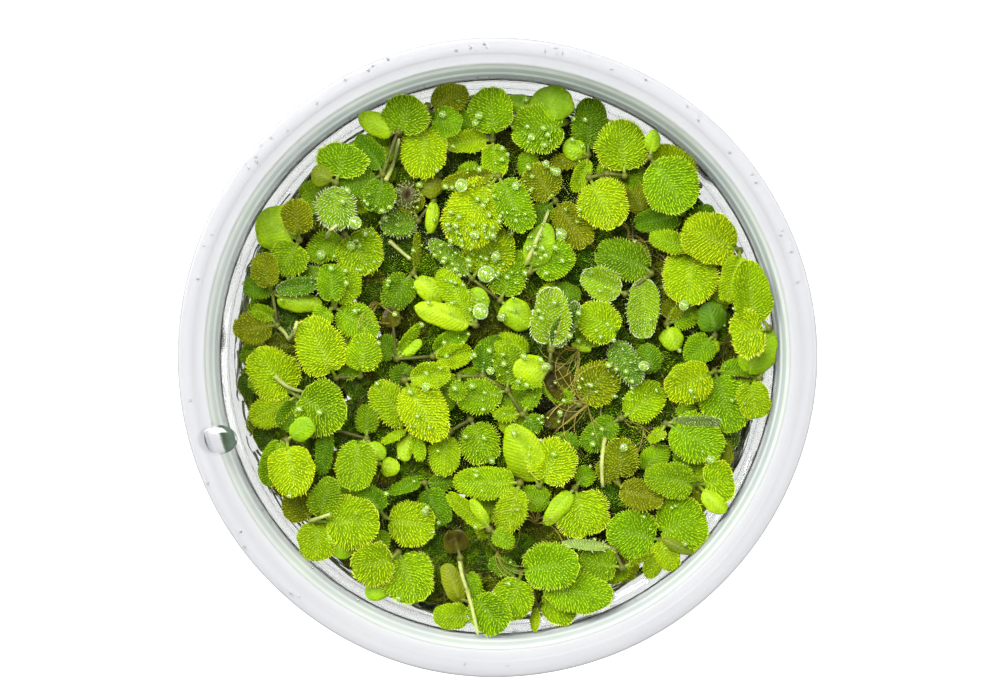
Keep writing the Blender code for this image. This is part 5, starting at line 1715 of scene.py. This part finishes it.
# %% A drop
# The large drops on the leaves: x, y and width
DROPS = (
    (-25.7, 24.3, 2.4), (-27.0, 20.5, 1.6), (-32.5, 18.8, 1.7), (-10.0, 44.5, 1.3), (-3.3, 44.2, 1.3),
    (-4.0, 42.9, 1.2), (6.3, 40.3, 1.3), (9.0, 35.5, 1.3), (11.0, 34.0, 1.6), (3.4, 31.2, 1.4),
    (-4.0, 22.3, 1.6), (-0.2, 18.5, 1.8), (-2.0, 15.2, 3.2), (-6.5, 31.3, 2.4), (11.8, 22.5, 2.2),
    (-3.0, 8.3, 3.0), (0.8, 7.2, 1.5), (-1.2, -2.6, 1.5), (9.0, -1.8, 1.5), (-13.0, -5.5, 1.5),
    (34.2, 9.4, 1.9), (27.0, -1.7, 2.0), (-13.2, -28.5, 1.4), (23.3, -16.7, 1.5), (39.0, -18.8, 1.5),
)
# The clear coat keeps the lamp's reflection sharp, while the body blurs the hairs under the drop. A
# drop on a leaf is painted the green of the lit leaf under it, with a painted highlight in a pale ring
# and a pale heart where it gathers the light.
drop_finish = Finish(
    "water drop",
    Roughness=0.15,
    IOR=WATER_IOR,
    Transmission_Weight=0.62,
    Coat_Weight=1.0,
    Coat_Roughness=0.0,
)
drop_finish.give(Base_Color=drop_finish.tint())
TINTED, PLAIN = 0, 1
# The drop's painted highlight, and the painted green glow of the lit leaf beneath it
DROP_HIGHLIGHT, DROP_GLOW_GREEN = (0.86, 0.95, 0.62), (0.38, 0.60, 0.03)
# The large drop on the wall: where it is, and its tints at distances outwards from its middle, in mm; the tints paint
# the wall's stripes seen through it and its highlights
WALL_DROP_TURN = math.radians(196.5)
WALL_DROP_AWAY = 52.2
WALL_DROP_HEIGHT = 47.22
WALL_DROP_SIZE = 6.2
WALL_DROP_PLACES = (-3.4, -3.1, -2.2, -1.2, -0.8, -0.6, 1.1, 1.5, 1.7, 2.0, 2.4)
WALL_DROP_PAINTED_TINTS = (
    (0.50, 0.55, 0.50), (0.07, 0.12, 0.08), (0.13, 0.19, 0.14), (0.05, 0.08, 0.04),
    (0.08, 0.12, 0.08), (0.74, 0.75, 0.76), (0.72, 0.72, 0.74), (0.42, 0.45, 0.48),
    (0.68, 0.70, 0.71), (0.08, 0.09, 0.11), (0.12, 0.13, 0.15),
)


def interp_tint(places, stops, tints):
    """A tint for each place, on a scale of stops."""
    return np.stack([np.interp(places, stops, channel) for channel in zip(*tints)], -1)


def add_drop(heap, x, y, z, size, squash=0.78, segments=20, rings=12, slot=TINTED, stretch=1.0, deep=1.0):
    """Adds a ball, squashed in height and stretched along X; deep is how much further it reaches below.

    Only the large drop on the wall is deep, and it alone takes its tints from side to side: painted stripes of the wall
    seen through it and painted highlights.
    """
    turn = np.linspace(0, 2 * math.pi, segments, endpoint=False)
    tilt = np.linspace(-math.pi / 2 + 0.01, math.pi / 2 - 0.01, rings)
    tilt, turn = np.meshgrid(tilt, turn, indexing="ij")
    stretch = stretch + 0.05 * math.sin(7 * x + 3 * y)
    points = np.stack([
        x + 0.5 * size * stretch * np.cos(tilt) * np.cos(turn),
        y + 0.5 * size / stretch * np.cos(tilt) * np.sin(turn),
        z + 0.5 * size * squash * np.sin(tilt) * np.where(tilt < 0, deep, 1.0),
    ], -1)
    cap = np.array([(0, k + 1, k) for k in range(1, segments - 1)])
    caps = np.concatenate([cap, cap[:, ::-1] + (rings - 1) * segments])
    # A pale ring and a pale heart are painted highlight; the rest is the painted green glow of the leaf below.
    pale = (np.abs(tilt) < 0.5) | (tilt > 1.4)
    tints = np.where(pale[..., None], DROP_HIGHLIGHT, DROP_GLOW_GREEN)
    # The wall drop's tints are painted light: the wall seen through it, and its highlights.
    if deep > 1:
        outwards = (points[..., :2] - (x, y)) @ (x, y) / math.hypot(x, y)
        tints = interp_tint(outwards, WALL_DROP_PLACES, WALL_DROP_PAINTED_TINTS)
    heap.add(points, [grid_faces(rings, segments, closed=True), caps], tints.reshape(-1, 3), slot)


def round_axis(away, turn):
    return away * math.cos(turn), away * math.sin(turn)


# %% Place the drops
SMALL_WALL_DROPS = 60
BRIM_DROPS = 46
drops = Heap()
wall_drop = (*round_axis(WALL_DROP_AWAY, WALL_DROP_TURN), WALL_DROP_HEIGHT, WALL_DROP_SIZE)
add_drop(drops, *wall_drop, squash=0.235, segments=56, rings=32, stretch=1.12, deep=2.6)
for _ in range(SMALL_WALL_DROPS):
    turn = rng.uniform(0, 2 * math.pi)
    size = rng.uniform(0.3, 0.7)
    add_drop(drops, *round_axis(51.5, turn), rng.uniform(35.4, 37.5), size, 1.0, 8, 6, PLAIN)
for _ in range(BRIM_DROPS):
    turn = rng.uniform(0.2, 2.9) if rng.uniform() < 0.75 else rng.uniform(0, 2 * math.pi)
    away = rng.uniform(MOUTH_RADIUS + 0.6, RIM_RADIUS - 0.8)
    size = rng.uniform(0.35, 0.7)
    add_drop(drops, *round_axis(away, turn), BRIM_TOP, size, 0.3, 10, 7, PLAIN)
for x, y, size in DROPS:
    add_drop(drops, x, y, top_at(x, y, 0.3 * size) + 0.50 + 0.39 * size, size)
# The spray: a middle, how far it spreads and how many drops
SPRAY = (
    (-4.0, 20.0, 13.0, 190), (-22.0, 24.0, 10.0, 80), (6.0, 36.0, 12.0, 90), (2.0, 2.0, 22.0, 130),
    (24.0, -2.0, 10.0, 70), (0.0, -10.0, 40.0, 120),
)
for x0, y0, spread, count in SPRAY:
    for _ in range(count):
        x, y = x0 + rng.normal(0, 0.5 * spread), y0 + rng.normal(0, 0.5 * spread)
        size = 0.40 + 0.95 * rng.uniform(0, 1) ** 2.4
        if math.hypot(x, y) < 50 and top_at(x, y) > WATER_LEVEL + 1.0:
            add_drop(drops, x, y, top_at(x, y, 0.2) + 0.45 + 0.35 * size, size, 0.9, 10, 7)
spray = drops.build("water_drops", [drop_finish.material, water_finish.material])
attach(spray, "root")
print(f"Drops: {drops.triangles()} triangles")

# %% Finish
size = {"cad": [list(corner) for corner in (cad_low, cad_high)], "visual": [list(corner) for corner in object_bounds()]}
box = [round(value / MM, 1) for corner in size["visual"] for value in corner]
print("Box of the dressed model in mm:", box)
